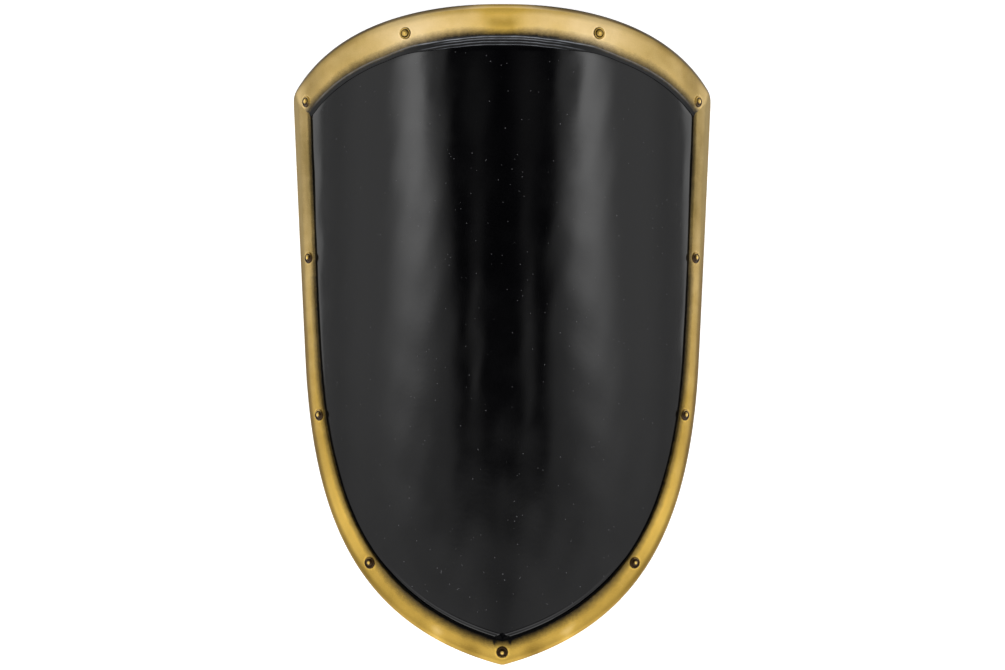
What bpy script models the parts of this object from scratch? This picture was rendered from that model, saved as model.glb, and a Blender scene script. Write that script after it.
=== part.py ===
"""Kite shield of foam and latex, lying face up on the side edges of its rim.

The shield is drawn flat, as a sheet that is s metres from its centre line and v metres above the
middle of its length. The sheet is then bent round an upright axis, and the bent shield is laid down.
"""

import math

import bmesh
import bpy
from mathutils import Matrix, Vector
from mathutils.bvhtree import BVHTree

# Outline of the flat sheet, in metres and degrees
LENGTH = 0.9630
CORNER_HALF_WIDTH = 0.3722
CORNER_DROP = 0.1135
CORNER_ROUND = 0.014
SHOULDER_SLOPE = 40.0
APEX_HANDLE = 0.053
SHOULDER_HANDLE = 0.179
SIDE_STRAIGHT = 0.409
SIDE_TAPER = 4.7
BELLY_HANDLE = 0.277
TIP_HANDLE = 0.177
TIP_SLOPE = 14.5
TIP_ROUND = 0.004

# Board, and the bend of its front face
FACE_RADIUS = 0.396
BOARD_THICKNESS = 0.012
BOARD_STRIP = 0.019

# Rim, across its section
CLEARANCE = 0.0003
RIM_WALL = 0.005
RIM_RISE = 0.0058
CROWN_SAG = 0.0008
OUTER_ROUND = 0.0080
OUTER_DROP = 0.0065
INNER_ROUND = 0.0015
TOE_HEIGHT = 0.0010
CROWN_TOP = 0.0476
CROWN_SHOULDER = 0.0510
CROWN_SIDE = 0.0412
CROWN_NARROWEST = 0.0338
CROWN_BELLY = 0.0366
CROWN_TIP = 0.0352
NARROWEST_AT = 0.350
BELLY_AT = 0.600
STEP_BAND_TOP = 0.0128
STEP_BAND_SHOULDER = 0.0066
SHOULDER_START = 0.130
SHOULDER_END = 0.200
BAND_START = 0.095
BAND_END = 0.185
SIDE_BAND = 0.0014
BACK_LIP_WIDTH = 0.020
BACK_LIP_THICKNESS = 0.004
BACK_ROUND = 0.0035
LIP_BEVEL_WIDTH = 0.0035
LIP_BEVEL_HEIGHT = 0.0012
LAND_DEPTH = 0.0006

# Studs on the rim
STUD_RADIUS = 0.0080
STUD_EDGE_HEIGHT = 0.0012
STUD_RING_RADIUS = 0.0068
STUD_RING_HEIGHT = 0.0019
STUD_GROOVE_RADIUS = 0.0052
STUD_GROOVE_HEIGHT = 0.0010
STUD_DOME_RADIUS = 0.0044
STUD_DOME_HEIGHT = 0.0036
TOP_STUD_OFFSET = 0.1495
CORNER_STUD_FROM_TOP = 0.0362
CORNER_STUD_FROM_SIDE = 0.0395
TIP_STUD_INSET = 0.0200
SIDE_STUD_SETBACK = 0.0088
SIDE_STUD_PITCH = 0.2394
LOWER_STUD_OUT = 0.0032

# Arm strap and hand grip behind the board
ARM_LINE = 0.030
STRAP_OFFSET = 0.120
STRAP_SPAN = 0.170
STRAP_DEPTH = 0.068
STRAP_WIDTH = 0.045
STRAP_THICKNESS = 0.003
GRIP_OFFSET = 0.120
GRIP_SPAN = 0.150
GRIP_DEPTH = 0.048
GRIP_END_WIDTH = 0.030
GRIP_END_THICKNESS = 0.003
GRIP_END_SQUARENESS = 0.25
GRIP_ROLL_WIDTH = 0.026
GRIP_ROLL_THICKNESS = 0.018
FOOT_LENGTH = 0.045
FOOT_BLEND = 0.62
LOOP_FULLNESS = 0.75
RIVET_RADIUS = 0.0055
RIVET_EDGE = 0.0009
RIVET_HEIGHT = 0.0022
RIVET_END_MARGIN = 0.011
RIVET_PITCH = 0.020

# How finely the round shapes are cut into flats
TOP_STATIONS = 20
CORNER_STATIONS = 3
SIDE_STATIONS = 32
TIP_STATIONS = 1
SEAT_STEPS = 4
FRONT_ROUND_STEPS = 3
BACK_ROUND_STEPS = 2
CURVE_STEPS = 60
STUD_SIDES = 16
RIVET_SIDES = 12
DOME_STEPS = 3
STRAP_STEPS = 20
STRAP_ACROSS = 4
GRIP_SIDES = 12
SMOOTH_ANGLE = 40.0
WELD = 1e-6
PARALLEL = 1e-15
POSE_ROUNDS = 4


def clear_scene():
    for obj in list(bpy.data.objects):
        bpy.data.objects.remove(obj, do_unlink=True)


def material(name, colour, roughness, metallic=0.0):
    made = bpy.data.materials.new(name)
    made.use_nodes = True
    shader = made.node_tree.nodes["Principled BSDF"]
    shader.inputs["Base Color"].default_value = (*colour, 1.0)
    shader.inputs["Roughness"].default_value = roughness
    shader.inputs["Metallic"].default_value = metallic
    made.diffuse_color = (*colour, 1.0)
    return made


def mix(a, b, share):
    return a + (b - a) * share


def ease(share):
    """0 up to 0, 1 from 1 on, and eased between them."""
    share = min(max(share, 0.0), 1.0)
    return share * share * (3.0 - 2.0 * share)


# Paths on the flat sheet

def cubic(start, handle_a, handle_b, end):
    """Points of a cubic curve."""
    points = []
    for step in range(CURVE_STEPS + 1):
        t = step / CURVE_STEPS
        u = 1.0 - t
        points.append(
            start * u ** 3 + handle_a * 3 * u * u * t + handle_b * 3 * u * t * t + end * t ** 3
        )
    return points


def outline_halves():
    """The right half of the outline: the top edge from the centre out, and the side down to the tip."""
    apex = Vector((0.0, LENGTH / 2))
    tip = Vector((0.0, -LENGTH / 2))
    corner = Vector((CORNER_HALF_WIDTH, LENGTH / 2 - CORNER_DROP))
    slope = math.radians(SHOULDER_SLOPE)
    shoulder = Vector((-math.cos(slope), math.sin(slope)))
    top = cubic(
        apex,
        apex + Vector((APEX_HANDLE, 0.0)),
        corner + shoulder * SHOULDER_HANDLE,
        corner,
    )
    taper = math.radians(SIDE_TAPER)
    down = Vector((-math.sin(taper), -math.cos(taper)))
    belly = corner + down * SIDE_STRAIGHT
    foot = math.radians(TIP_SLOPE)
    curve = cubic(
        belly,
        belly + down * BELLY_HANDLE,
        tip + Vector((math.cos(foot), math.sin(foot))) * TIP_HANDLE,
        tip,
    )
    straight = [corner.lerp(belly, step / CURVE_STEPS) for step in range(CURVE_STEPS)]
    return top, straight + curve


def lengths(path):
    """Distance along the path to each of its points."""
    total = 0.0
    result = [0.0]
    for a, b in zip(path, path[1:]):
        total += (b - a).length
        result.append(total)
    return result


def along(path, distance):
    """The point at a distance along the path, and the path's direction there."""
    walked = 0.0
    for a, b in zip(path, path[1:]):
        piece = (b - a).length
        if piece > 0.0 and walked + piece >= distance:
            return a.lerp(b, (distance - walked) / piece), (b - a) / piece
        walked += piece
    a, b = path[-2], path[-1]
    return b.copy(), (b - a).normalized()


def part_of(path, start, end, count):
    """Evenly spaced points of the path between two distances along it."""
    return [along(path, mix(start, end, step / count))[0] for step in range(count + 1)]


def inward(direction):
    """The side of a path, walked from the top centre round to the tip, on which the field lies."""
    return Vector((direction.y, -direction.x))


def offset(path, distance_at):
    """The path moved towards the field, by a distance that may change along it."""
    walked = lengths(path)
    spare = OUTER_ROUND
    moved = []
    for index, point in enumerate(path):
        before = path[max(index - 1, 0)]
        after = path[min(index + 1, len(path) - 1)]
        normal = inward((after - before).normalized())
        moved.append(point + normal * distance_at(walked[index] / walked[-1]))
    head = (moved[0] - moved[1]).normalized()
    tail = (moved[-1] - moved[-2]).normalized()
    return [moved[0] + head * spare] + moved + [moved[-1] + tail * spare]


def crossing(first, second):
    """Where two paths cross, with the part of the first before it and of the second after it."""
    for i, (a, b) in enumerate(zip(first, first[1:])):
        for j, (c, d) in enumerate(zip(second, second[1:])):
            across = (b - a).cross(d - c)
            if abs(across) < PARALLEL:
                continue
            t = (c - a).cross(d - c) / across
            u = (c - a).cross(b - a) / across
            if 0.0 <= t <= 1.0 and 0.0 <= u <= 1.0:
                point = a.lerp(b, t)
                return first[:i + 1] + [point], [point] + second[j + 1:]
    raise ValueError("the top and the side of an outline do not meet")


def cut_at_centre(path, from_start):
    """The path's part on the right of the centre line."""
    ordered = path if from_start else path[::-1]
    for index, (a, b) in enumerate(zip(ordered, ordered[1:])):
        if a.x <= 0.0 < b.x:
            point = a.lerp(b, -a.x / (b.x - a.x))
            point.x = 0.0
            kept = [point] + ordered[index + 1:]
            return kept if from_start else kept[::-1]
    return path


def rounding(start, corner, end, count):
    """Points of a curve that rounds a corner, its first and last left out."""
    points = []
    for step in range(1, count):
        t = step / count
        points.append(start * (1 - t) ** 2 + corner * 2 * t * (1 - t) + end * t * t)
    return points


def half_loop(top_distance, side_distance, depth):
    """Half of one line round the shield, from the top centre to the tip, always with as many points."""
    top, side = outline_halves()
    top, side = crossing(offset(top, top_distance), offset(side, side_distance))
    top = cut_at_centre(top, True)
    side = cut_at_centre(side, False)
    half_turn = math.radians(90.0 + SIDE_TAPER - SHOULDER_SLOPE) / 2
    back = max(CORNER_ROUND - depth * math.tan(half_turn), CLEARANCE)
    tip_back = max(TIP_ROUND - depth * math.tan(math.radians(TIP_SLOPE)), CLEARANCE)
    top_end = lengths(top)[-1] - back
    side_end = lengths(side)[-1] - tip_back
    points = part_of(top, 0.0, top_end, TOP_STATIONS)
    first = along(side, back)[0]
    points += rounding(points[-1], top[-1], first, CORNER_STATIONS)
    points += part_of(side, back, side_end, SIDE_STATIONS)
    last = points[-1]
    mirrored = Vector((-last.x, last.y))
    points += rounding(last, side[-1], mirrored, 2 * TIP_STATIONS)[:TIP_STATIONS]
    points[0].x = 0.0
    points[-1].x = 0.0
    return points


def full_loop(half):
    return half + [Vector((-point.x, point.y)) for point in half[-2:0:-1]]


def bend(point, height):
    """A point of the flat sheet, at a height over the board's face, on the bent shield."""
    angle = point.x / FACE_RADIUS
    radius = FACE_RADIUS + height
    return Vector((radius * math.sin(angle), point.y, radius * math.cos(angle) - FACE_RADIUS))


def even(distance):
    """A line at the same distance from the edge all the way round."""
    return full_loop(half_loop(lambda share: distance, lambda share: distance, distance))


# Widths of the rim

def widths_on_top(share):
    """Widths of the crown, and of the stepped band inside it, from the top centre to the corner."""
    distance = share * lengths(outline_halves()[0])[-1]
    wider = ease((distance - SHOULDER_START) / (SHOULDER_END - SHOULDER_START))
    narrower = ease((distance - BAND_START) / (BAND_END - BAND_START))
    return mix(CROWN_TOP, CROWN_SHOULDER, wider), mix(STEP_BAND_TOP, STEP_BAND_SHOULDER, narrower)


def widths_on_side(share):
    """Widths of the crown and of the narrow band inside it, from the corner to the tip."""
    side = lengths(outline_halves()[1])[-1]
    distance = share * side
    crown = mix(CROWN_SIDE, CROWN_NARROWEST, ease(distance / NARROWEST_AT))
    crown = mix(crown, CROWN_BELLY, ease((distance - NARROWEST_AT) / (BELLY_AT - NARROWEST_AT)))
    crown = mix(crown, CROWN_TIP, ease((distance - BELLY_AT) / (side - BELLY_AT)))
    return crown, SIDE_BAND


def rim_line(from_edge, crown_share, band_share):
    """A line round the rim, set by a distance and by shares of the crown's and the band's widths."""
    def distance_by(widths):
        def distance(share):
            crown, band = widths(share)
            return from_edge + crown_share * crown + band_share * band

        return distance

    depth = from_edge + crown_share * CROWN_SIDE
    return full_loop(half_loop(distance_by(widths_on_top), distance_by(widths_on_side), depth))


def arc_profile(centre, radii, start, end, count):
    """Section points on a quarter round, as (distance from the edge, height)."""
    points = []
    for step in range(count + 1):
        angle = math.radians(mix(start, end, step / count))
        points.append((
            centre[0] + radii[0] * math.cos(angle),
            centre[1] + radii[1] * math.sin(angle),
        ))
    return points


def rim_section():
    """The rim's section as lines round the shield and their heights, walked once round the section."""
    shoulder = RIM_RISE - CROWN_SAG
    back = -BOARD_THICKNESS - CLEARANCE
    back_face = back - BACK_LIP_THICKNESS
    seat = RIM_WALL + CLEARANCE
    front = arc_profile(
        (OUTER_ROUND, shoulder - OUTER_DROP), (OUTER_ROUND, OUTER_DROP), 180, 90, FRONT_ROUND_STEPS
    )
    rear = arc_profile(
        (BACK_ROUND, back_face + BACK_ROUND), (BACK_ROUND, BACK_ROUND), 270, 180, BACK_ROUND_STEPS
    )
    section = [(even(distance), height) for distance, height in front]
    section += [
        (rim_line(OUTER_ROUND / 2, 0.5, 0.0), RIM_RISE),
        (rim_line(-INNER_ROUND, 1.0, 0.0), shoulder),
        (rim_line(0.0, 1.0, 0.0), shoulder - INNER_ROUND),
        (rim_line(0.0, 1.0, 1.0), TOE_HEIGHT),
    ]
    for step in range(SEAT_STEPS):
        share = 1.0 - step / SEAT_STEPS
        section.append((rim_line(seat * (1.0 - share), share, share), CLEARANCE))
    section += [
        (even(seat), CLEARANCE),
        (even(seat), back),
        (even(BACK_LIP_WIDTH), back),
        (even(BACK_LIP_WIDTH), back_face + LIP_BEVEL_HEIGHT),
        (even(BACK_LIP_WIDTH - LIP_BEVEL_WIDTH), back_face),
    ]
    section += [(even(distance), height) for distance, height in rear]
    return section


# Meshes

def mesh_object(name, mesh_data, finish):
    """A closed mesh as an object of the shield, its faces turned outwards."""
    bmesh.ops.remove_doubles(mesh_data, verts=mesh_data.verts, dist=WELD)
    bmesh.ops.recalc_face_normals(mesh_data, faces=mesh_data.faces)
    mesh = bpy.data.meshes.new(name)
    mesh_data.to_mesh(mesh)
    mesh_data.free()
    mesh.materials.append(finish)
    mesh.shade_smooth()
    mesh.set_sharp_from_angle(angle=math.radians(SMOOTH_ANGLE))
    obj = bpy.data.objects.new(name, mesh)
    bpy.context.scene.collection.objects.link(obj)
    return obj


def skin(mesh_data, rings, closed):
    """Faces between rings of vertices, the last ring joined to the first if closed."""
    pairs = list(zip(rings, rings[1:]))
    if closed:
        pairs.append((rings[-1], rings[0]))
    for a, b in pairs:
        count = len(a)
        for i in range(count):
            k = (i + 1) % count
            mesh_data.faces.new((a[i], a[k], b[k], b[i]))


def rim_mesh():
    made = bmesh.new()
    rings = []
    for line, height in rim_section():
        rings.append([made.verts.new(bend(point, height)) for point in line])
    skin(made, rings, True)
    bmesh.ops.triangulate(made, faces=made.faces)
    bmesh.ops.recalc_face_normals(made, faces=made.faces)
    return made


def lying_pose(points):
    """The matrix that lays the bent shield down, so that it rests on its corners and its belly."""
    split = LENGTH / 2 - CORNER_DROP - SIDE_STRAIGHT / 2
    pitch = 0.0
    for _ in range(POSE_ROUNDS):
        turn = Matrix.Rotation(pitch, 4, "X")
        turned = [(turn @ point, point.y) for point in points]
        upper = min((p for p, y in turned if y > split), key=lambda p: p.z)
        lower = min((p for p, y in turned if y <= split), key=lambda p: p.z)
        pitch += math.atan2(lower.z - upper.z, upper.y - lower.y)
    turn = Matrix.Rotation(pitch, 4, "X")
    turned = [turn @ point for point in points]
    lowest = min(point.z for point in turned)
    middle = (min(point.y for point in turned) + max(point.y for point in turned)) / 2
    return Matrix.Translation((0.0, -middle, -lowest - LAND_DEPTH)) @ turn


def cut_lands(made, pose):
    """Flats along the side edges, where the lying shield meets the floor."""
    back = pose.inverted()
    floor_point = back @ Vector((0.0, 0.0, 0.0))
    up = back.to_3x3() @ Vector((0.0, 0.0, 1.0))
    everything = list(made.verts) + list(made.edges) + list(made.faces)
    cut = bmesh.ops.bisect_plane(
        made, geom=everything, plane_co=floor_point, plane_no=up, clear_inner=True
    )
    rims = [item for item in cut["geom_cut"] if isinstance(item, bmesh.types.BMEdge)]
    bmesh.ops.edgeloop_fill(made, edges=rims)
    bmesh.ops.triangulate(made, faces=made.faces)


def board_mesh():
    """The board: its flat outline is cut into strips, made solid and bent."""
    flat = bmesh.new()
    outline = even(RIM_WALL + CLEARANCE * 2)
    flat.faces.new([flat.verts.new((point.x, point.y, 0.0)) for point in outline])
    half = max(point.x for point in outline)
    strips = math.ceil(half / BOARD_STRIP)
    for index in range(1 - strips, strips):
        everything = list(flat.verts) + list(flat.edges) + list(flat.faces)
        bmesh.ops.bisect_plane(
            flat,
            geom=everything,
            dist=WELD,
            plane_co=(index * half / strips, 0.0, 0.0),
            plane_no=(1.0, 0.0, 0.0),
        )
    bmesh.ops.remove_doubles(flat, verts=flat.verts, dist=WELD)
    bmesh.ops.triangulate(flat, faces=flat.faces)
    made = bmesh.new()
    front = {vert: made.verts.new(bend(vert.co, 0.0)) for vert in flat.verts}
    rear = {vert: made.verts.new(bend(vert.co, -BOARD_THICKNESS)) for vert in flat.verts}
    for face in flat.faces:
        made.faces.new([front[vert] for vert in face.verts])
        made.faces.new([rear[vert] for vert in reversed(face.verts)])
    for edge in flat.edges:
        if edge.is_boundary:
            a, b = edge.verts
            made.faces.new((front[a], front[b], rear[b], rear[a]))
    flat.free()
    return made


# Studs

def dome_profile(radius, foot, peak):
    """The turned section of a dome as (radius, height), its middle point left out."""
    angles = [math.pi / 2 * step / DOME_STEPS for step in range(DOME_STEPS)]
    return [(radius * math.cos(angle), mix(foot, peak, math.sin(angle))) for angle in angles]


def stud_profile():
    """The turned section of a stud as (radius, height), from the edge to the middle."""
    ring = [
        (STUD_RADIUS, STUD_EDGE_HEIGHT),
        (STUD_RING_RADIUS, STUD_RING_HEIGHT),
        (STUD_GROOVE_RADIUS, STUD_GROOVE_HEIGHT),
    ]
    return ring + dome_profile(STUD_DOME_RADIUS, STUD_GROOVE_HEIGHT, STUD_DOME_HEIGHT)


def turned_head(made, place, profile, peak, sides, seat):
    """A round head over a place: its top is turned, and its underside lies on the seat surface."""
    origin, across, up = place
    other = up.cross(across)

    def at(radius, angle, height):
        return origin + (across * math.cos(angle) + other * math.sin(angle)) * radius + up * height

    angles = [2 * math.pi * i / sides for i in range(sides)]
    under = [profile[0][0], profile[0][0] / 2]
    rings = []
    for radius in under[::-1]:
        rings.append([made.verts.new(seat(at(radius, angle, 0.0))) for angle in angles])
    for radius, height in profile:
        rings.append([made.verts.new(at(radius, angle, height)) for angle in angles])
    skin(made, rings, False)
    bottom = made.verts.new(seat(origin))
    top = made.verts.new(origin + up * peak)
    for ring, point in ((rings[0], bottom), (rings[-1], top)):
        for i in range(sides):
            made.faces.new((ring[i], ring[(i + 1) % sides], point))


def stud_places():
    """Names and flat places of the studs: a pair on top, then from each corner down to the tip."""
    places = []
    spot, direction = along(outline_halves()[0], TOP_STUD_OFFSET)
    places.append(("top", spot + inward(direction) * (OUTER_ROUND + CROWN_TOP) / 2))
    inset = half_loop(
        lambda share: CORNER_STUD_FROM_TOP, lambda share: CORNER_STUD_FROM_SIDE, CORNER_STUD_FROM_SIDE
    )
    corner = inset[TOP_STATIONS]
    places.append(("corner", corner))
    crown_edge = rim_line(-SIDE_STUD_SETBACK, 1.0, 0.0)[TOP_STATIONS:len(inset)]
    stud_line = [corner] + [point for point in crown_edge if point.y < corner.y]
    for index, name in enumerate(("upper", "middle", "lower")):
        spot, direction = along(stud_line, SIDE_STUD_PITCH * (index + 1))
        out = LOWER_STUD_OUT if name == "lower" else 0.0
        places.append((name, spot - inward(direction) * out))
    named = []
    for name, spot in places:
        named.append((f"rim_stud_{name}_right", spot))
        named.append((f"rim_stud_{name}_left", Vector((-spot.x, spot.y))))
    tip = Vector((0.0, -LENGTH / 2 + TIP_STUD_INSET))
    named.append(("rim_stud_tip", tip))
    return named


def make_studs(surface, finish):
    reach = 2 * RIM_RISE
    studs = []
    for name, spot in stud_places():
        up = (bend(spot, 1.0) - bend(spot, 0.0)).normalized()

        def seat(point, up=up):
            """The point, or the place just over the rim where that is higher."""
            hit = surface.ray_cast(point + up * reach, -up)[0]
            return point + up * max((hit - point).dot(up) + CLEARANCE, 0.0)

        origin = seat(bend(spot, 0.0))
        made = bmesh.new()
        turned_head(
            made, (origin, Vector((0.0, 1.0, 0.0)), up), stud_profile(), STUD_DOME_HEIGHT, STUD_SIDES, seat
        )
        studs.append(mesh_object(name, made, finish))
    return studs


# Strap and grip

def loop_path(span, depth):
    """The line of a strap behind the board, as (distance along, depth behind the back face)."""
    half = span / 2
    path = [(-half - FOOT_LENGTH, 0.0), (-half - FOOT_LENGTH / 2, 0.0)]
    for step in range(STRAP_STEPS + 1):
        angle = math.pi * step / STRAP_STEPS
        rise = math.sin(angle) ** LOOP_FULLNESS if 0 < step < STRAP_STEPS else 0.0
        path.append((-half * math.cos(angle), depth * rise))
    path += [(half + FOOT_LENGTH / 2, 0.0), (half + FOOT_LENGTH, 0.0)]
    return path


def strap_frame(offset_from_centre):
    """The middle of a strap's place on the board's back, and the directions across and behind it."""
    angle = offset_from_centre / FACE_RADIUS
    behind = -Vector((math.sin(angle), 0.0, math.cos(angle)))
    across = Vector((math.cos(angle), 0.0, -math.sin(angle)))
    place = bend(Vector((offset_from_centre, ARM_LINE)), -BOARD_THICKNESS)
    return place, across, behind


def hollow(sideways):
    """How far the bent back stands off a flat strap that touches it along its middle."""
    radius = FACE_RADIUS - BOARD_THICKNESS
    return radius - math.sqrt(radius * radius - sideways * sideways)


def loop_mesh(offset_from_centre, path, section_at):
    """A strap: sections across its path, their ends lying against the hollow back of the board."""
    place, across, behind = strap_frame(offset_from_centre)
    along_y = Vector((0.0, 1.0, 0.0))
    made = bmesh.new()
    rings = []
    deepest = max(depth for _, depth in path)
    for index, (y, depth) in enumerate(path):
        before = path[max(index - 1, 0)]
        after = path[min(index + 1, len(path) - 1)]
        direction = Vector((after[0] - before[0], after[1] - before[1])).normalized()
        normal = Vector((-direction.y, direction.x))
        share = ease(depth / (deepest * FOOT_BLEND))
        ring = []
        for sideways, out in section_at(share):
            lie = hollow(sideways) * (1.0 - share)
            here_y = y + normal.x * out
            here_out = depth + CLEARANCE + normal.y * out + lie
            ring.append(made.verts.new(place + across * sideways + along_y * here_y + behind * here_out))
        rings.append(ring)
    skin(made, rings, False)
    made.faces.new(rings[0])
    made.faces.new(rings[-1])
    return made


def flat_section(width, thickness):
    """A flat strap's section, under and over."""
    steps = [mix(-width / 2, width / 2, i / STRAP_ACROSS) for i in range(STRAP_ACROSS + 1)]
    return [(x, 0.0) for x in steps] + [(x, thickness) for x in reversed(steps)]


def rolled_section(share):
    """The grip's section: flat at its feet, and rolled round in the hand."""
    width = mix(GRIP_END_WIDTH, GRIP_ROLL_WIDTH, share)
    thickness = mix(GRIP_END_THICKNESS, GRIP_ROLL_THICKNESS, share)
    flat = mix(GRIP_END_SQUARENESS, 1.0, share)
    points = []
    for i in range(GRIP_SIDES):
        angle = math.pi + 2 * math.pi * (i + 0.5) / GRIP_SIDES
        x = math.copysign(abs(math.cos(angle)) ** flat, math.cos(angle)) * width / 2
        y = math.copysign(abs(math.sin(angle)) ** flat, math.sin(angle)) * thickness / 2
        points.append((x, y + thickness / 2))
    return points


def make_rivets(offset_from_centre, span, thickness, name, finish):
    """Two rivets on each foot of a strap."""
    place, across, behind = strap_frame(offset_from_centre)
    rivets = []
    profile = dome_profile(RIVET_RADIUS, RIVET_EDGE, RIVET_HEIGHT)
    for side, end in ((1, "upper"), (-1, "lower")):
        for index, where in enumerate(("outer", "inner")):
            from_end = RIVET_END_MARGIN + index * RIVET_PITCH
            y = side * (span / 2 + FOOT_LENGTH - from_end)
            origin = place + Vector((0.0, y, 0.0)) + behind * (2 * CLEARANCE + thickness)

            def seat(point, place=place, across=across, behind=behind):
                return point + behind * hollow((point - place).dot(across))

            made = bmesh.new()
            turned_head(made, (origin, across, behind), profile, RIVET_HEIGHT, RIVET_SIDES, seat)
            rivets.append(mesh_object(f"{name}_rivet_{end}_{where}", made, finish))
    return rivets


def main():
    clear_scene()
    black_latex = material("black_latex", (0.010, 0.010, 0.011), 0.25)
    gilt_latex = material("gilt_latex", (0.62, 0.45, 0.17), 0.45)
    leather = material("brown_leather", (0.075, 0.038, 0.020), 0.60)
    steel = material("steel", (0.45, 0.44, 0.42), 0.35, 1.0)

    rim = rim_mesh()
    pose = lying_pose([vert.co.copy() for vert in rim.verts])
    surface = BVHTree.FromBMesh(rim)
    cut_lands(rim, pose)

    pieces = [mesh_object("shield_board", board_mesh(), black_latex)]
    pieces.append(mesh_object("rim", rim, gilt_latex))
    pieces += make_studs(surface, gilt_latex)

    strap = loop_mesh(
        STRAP_OFFSET,
        loop_path(STRAP_SPAN, STRAP_DEPTH),
        lambda share: flat_section(STRAP_WIDTH, STRAP_THICKNESS),
    )
    pieces.append(mesh_object("forearm_strap", strap, leather))
    pieces += make_rivets(STRAP_OFFSET, STRAP_SPAN, STRAP_THICKNESS, "forearm_strap", steel)

    grip = loop_mesh(-GRIP_OFFSET, loop_path(GRIP_SPAN, GRIP_DEPTH), rolled_section)
    pieces.append(mesh_object("hand_grip", grip, leather))
    pieces += make_rivets(-GRIP_OFFSET, GRIP_SPAN, GRIP_END_THICKNESS, "hand_grip", steel)

    lying = bpy.data.objects.new("lying_shield", None)
    bpy.context.scene.collection.objects.link(lying)
    lying.matrix_world = pose
    for piece in pieces:
        piece.parent = lying


main()
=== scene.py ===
"""Looks of the foam and latex kite shield: its fine meshes, its finishes, the light and the camera.

The shield is drawn flat, as a sheet that is s metres from its centre line and v metres above the
middle of its length. The sheet is bent round an upright axis, and the bent shield is laid where the
frame has it. Heights are over the front face of the board.
"""

import math

import bmesh
import bpy
import numpy as np
from mathutils import Matrix, Vector
from mathutils.bvhtree import BVHTree


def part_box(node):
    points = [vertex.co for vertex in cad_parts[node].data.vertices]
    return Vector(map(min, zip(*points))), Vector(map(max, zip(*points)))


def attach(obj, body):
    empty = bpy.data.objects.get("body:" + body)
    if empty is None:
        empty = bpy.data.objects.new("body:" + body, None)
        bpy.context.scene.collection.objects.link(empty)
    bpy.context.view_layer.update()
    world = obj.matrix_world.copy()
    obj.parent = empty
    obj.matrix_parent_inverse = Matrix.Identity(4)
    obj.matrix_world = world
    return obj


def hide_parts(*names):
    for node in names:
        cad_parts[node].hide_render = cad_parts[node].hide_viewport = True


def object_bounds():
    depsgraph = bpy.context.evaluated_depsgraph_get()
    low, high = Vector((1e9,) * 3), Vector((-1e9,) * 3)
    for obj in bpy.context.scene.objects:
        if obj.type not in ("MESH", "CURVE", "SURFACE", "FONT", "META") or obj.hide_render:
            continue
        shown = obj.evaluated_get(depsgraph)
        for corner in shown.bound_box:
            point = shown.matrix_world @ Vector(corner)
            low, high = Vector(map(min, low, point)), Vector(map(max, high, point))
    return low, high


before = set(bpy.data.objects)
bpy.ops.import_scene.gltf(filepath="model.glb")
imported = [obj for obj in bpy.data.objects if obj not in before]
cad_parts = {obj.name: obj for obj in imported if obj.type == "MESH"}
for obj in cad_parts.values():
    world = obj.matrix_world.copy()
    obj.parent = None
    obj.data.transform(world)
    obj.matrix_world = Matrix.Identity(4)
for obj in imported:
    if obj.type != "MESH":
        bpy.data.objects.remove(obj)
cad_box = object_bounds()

MM = 0.001

# Outline of the flat sheet, in metres and degrees, as the solids have it
LENGTH = 0.9630
CORNER_HALF_WIDTH = 0.3722
CORNER_DROP = 0.1135
CORNER_ROUND = 0.014
SHOULDER_SLOPE = 40.0
APEX_HANDLE = 0.053
SHOULDER_HANDLE = 0.179
SIDE_STRAIGHT = 0.409
SIDE_TAPER = 4.7
BELLY_HANDLE = 0.277
TIP_HANDLE = 0.177
TIP_SLOPE = 14.5
TIP_ROUND = 0.004
FACE_RADIUS = 0.396
BOARD_THICKNESS = 0.012

# Rim, across its section, as the solids have it
CLEARANCE = 0.0003
RIM_WALL = 0.005
RIM_RISE = 0.0058
CROWN_SAG = 0.0008
OUTER_ROUND = 0.0080
OUTER_DROP = 0.0065
INNER_ROUND = 0.0015
TOE_HEIGHT = 0.0010
CROWN_TOP = 0.0476
CROWN_SHOULDER = 0.0510
CROWN_SIDE = 0.0412
CROWN_NARROWEST = 0.0338
CROWN_BELLY = 0.0366
CROWN_TIP = 0.0352
NARROWEST_AT = 0.350
BELLY_AT = 0.600
STEP_BAND_TOP = 0.0128
STEP_BAND_SHOULDER = 0.0066
SHOULDER_START = 0.130
SHOULDER_END = 0.200
BAND_START = 0.095
BAND_END = 0.185
SIDE_BAND = 0.0014
BACK_LIP_WIDTH = 0.020
BACK_LIP_THICKNESS = 0.004
BACK_ROUND = 0.0035
LIP_BEVEL_WIDTH = 0.0035
LIP_BEVEL_HEIGHT = 0.0012
BOARD_INSET = RIM_WALL + 2 * CLEARANCE

# Strap and grip behind the board, as the solids have them
ARM_LINE = 0.030
STRAP_OFFSET = 0.120
STRAP_SPAN = 0.170
STRAP_DEPTH = 0.068
STRAP_WIDTH = 0.045
STRAP_THICKNESS = 0.003
GRIP_OFFSET = 0.120
GRIP_SPAN = 0.150
GRIP_DEPTH = 0.048
GRIP_END_WIDTH = 0.030
GRIP_END_THICKNESS = 0.003
GRIP_END_SQUARENESS = 0.25
GRIP_ROLL_WIDTH = 0.026
GRIP_ROLL_THICKNESS = 0.018
FOOT_LENGTH = 0.045
FOOT_BLEND = 0.62
LOOP_FULLNESS = 0.75

# How finely the rim is drawn, round the shield
TOP_STATIONS = 200
CORNER_STATIONS = 8
SIDE_STATIONS = 326
TIP_STATIONS = 3
CURVE_STEPS = 240


def mix(a, b, share):
    return a + (b - a) * share


def rise(value, low, high):
    """0 up to low, 1 from high on, and eased between them."""
    share = np.clip((np.asarray(value, float) - low) / (high - low), 0.0, 1.0)
    return share * share * (3.0 - 2.0 * share)


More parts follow.
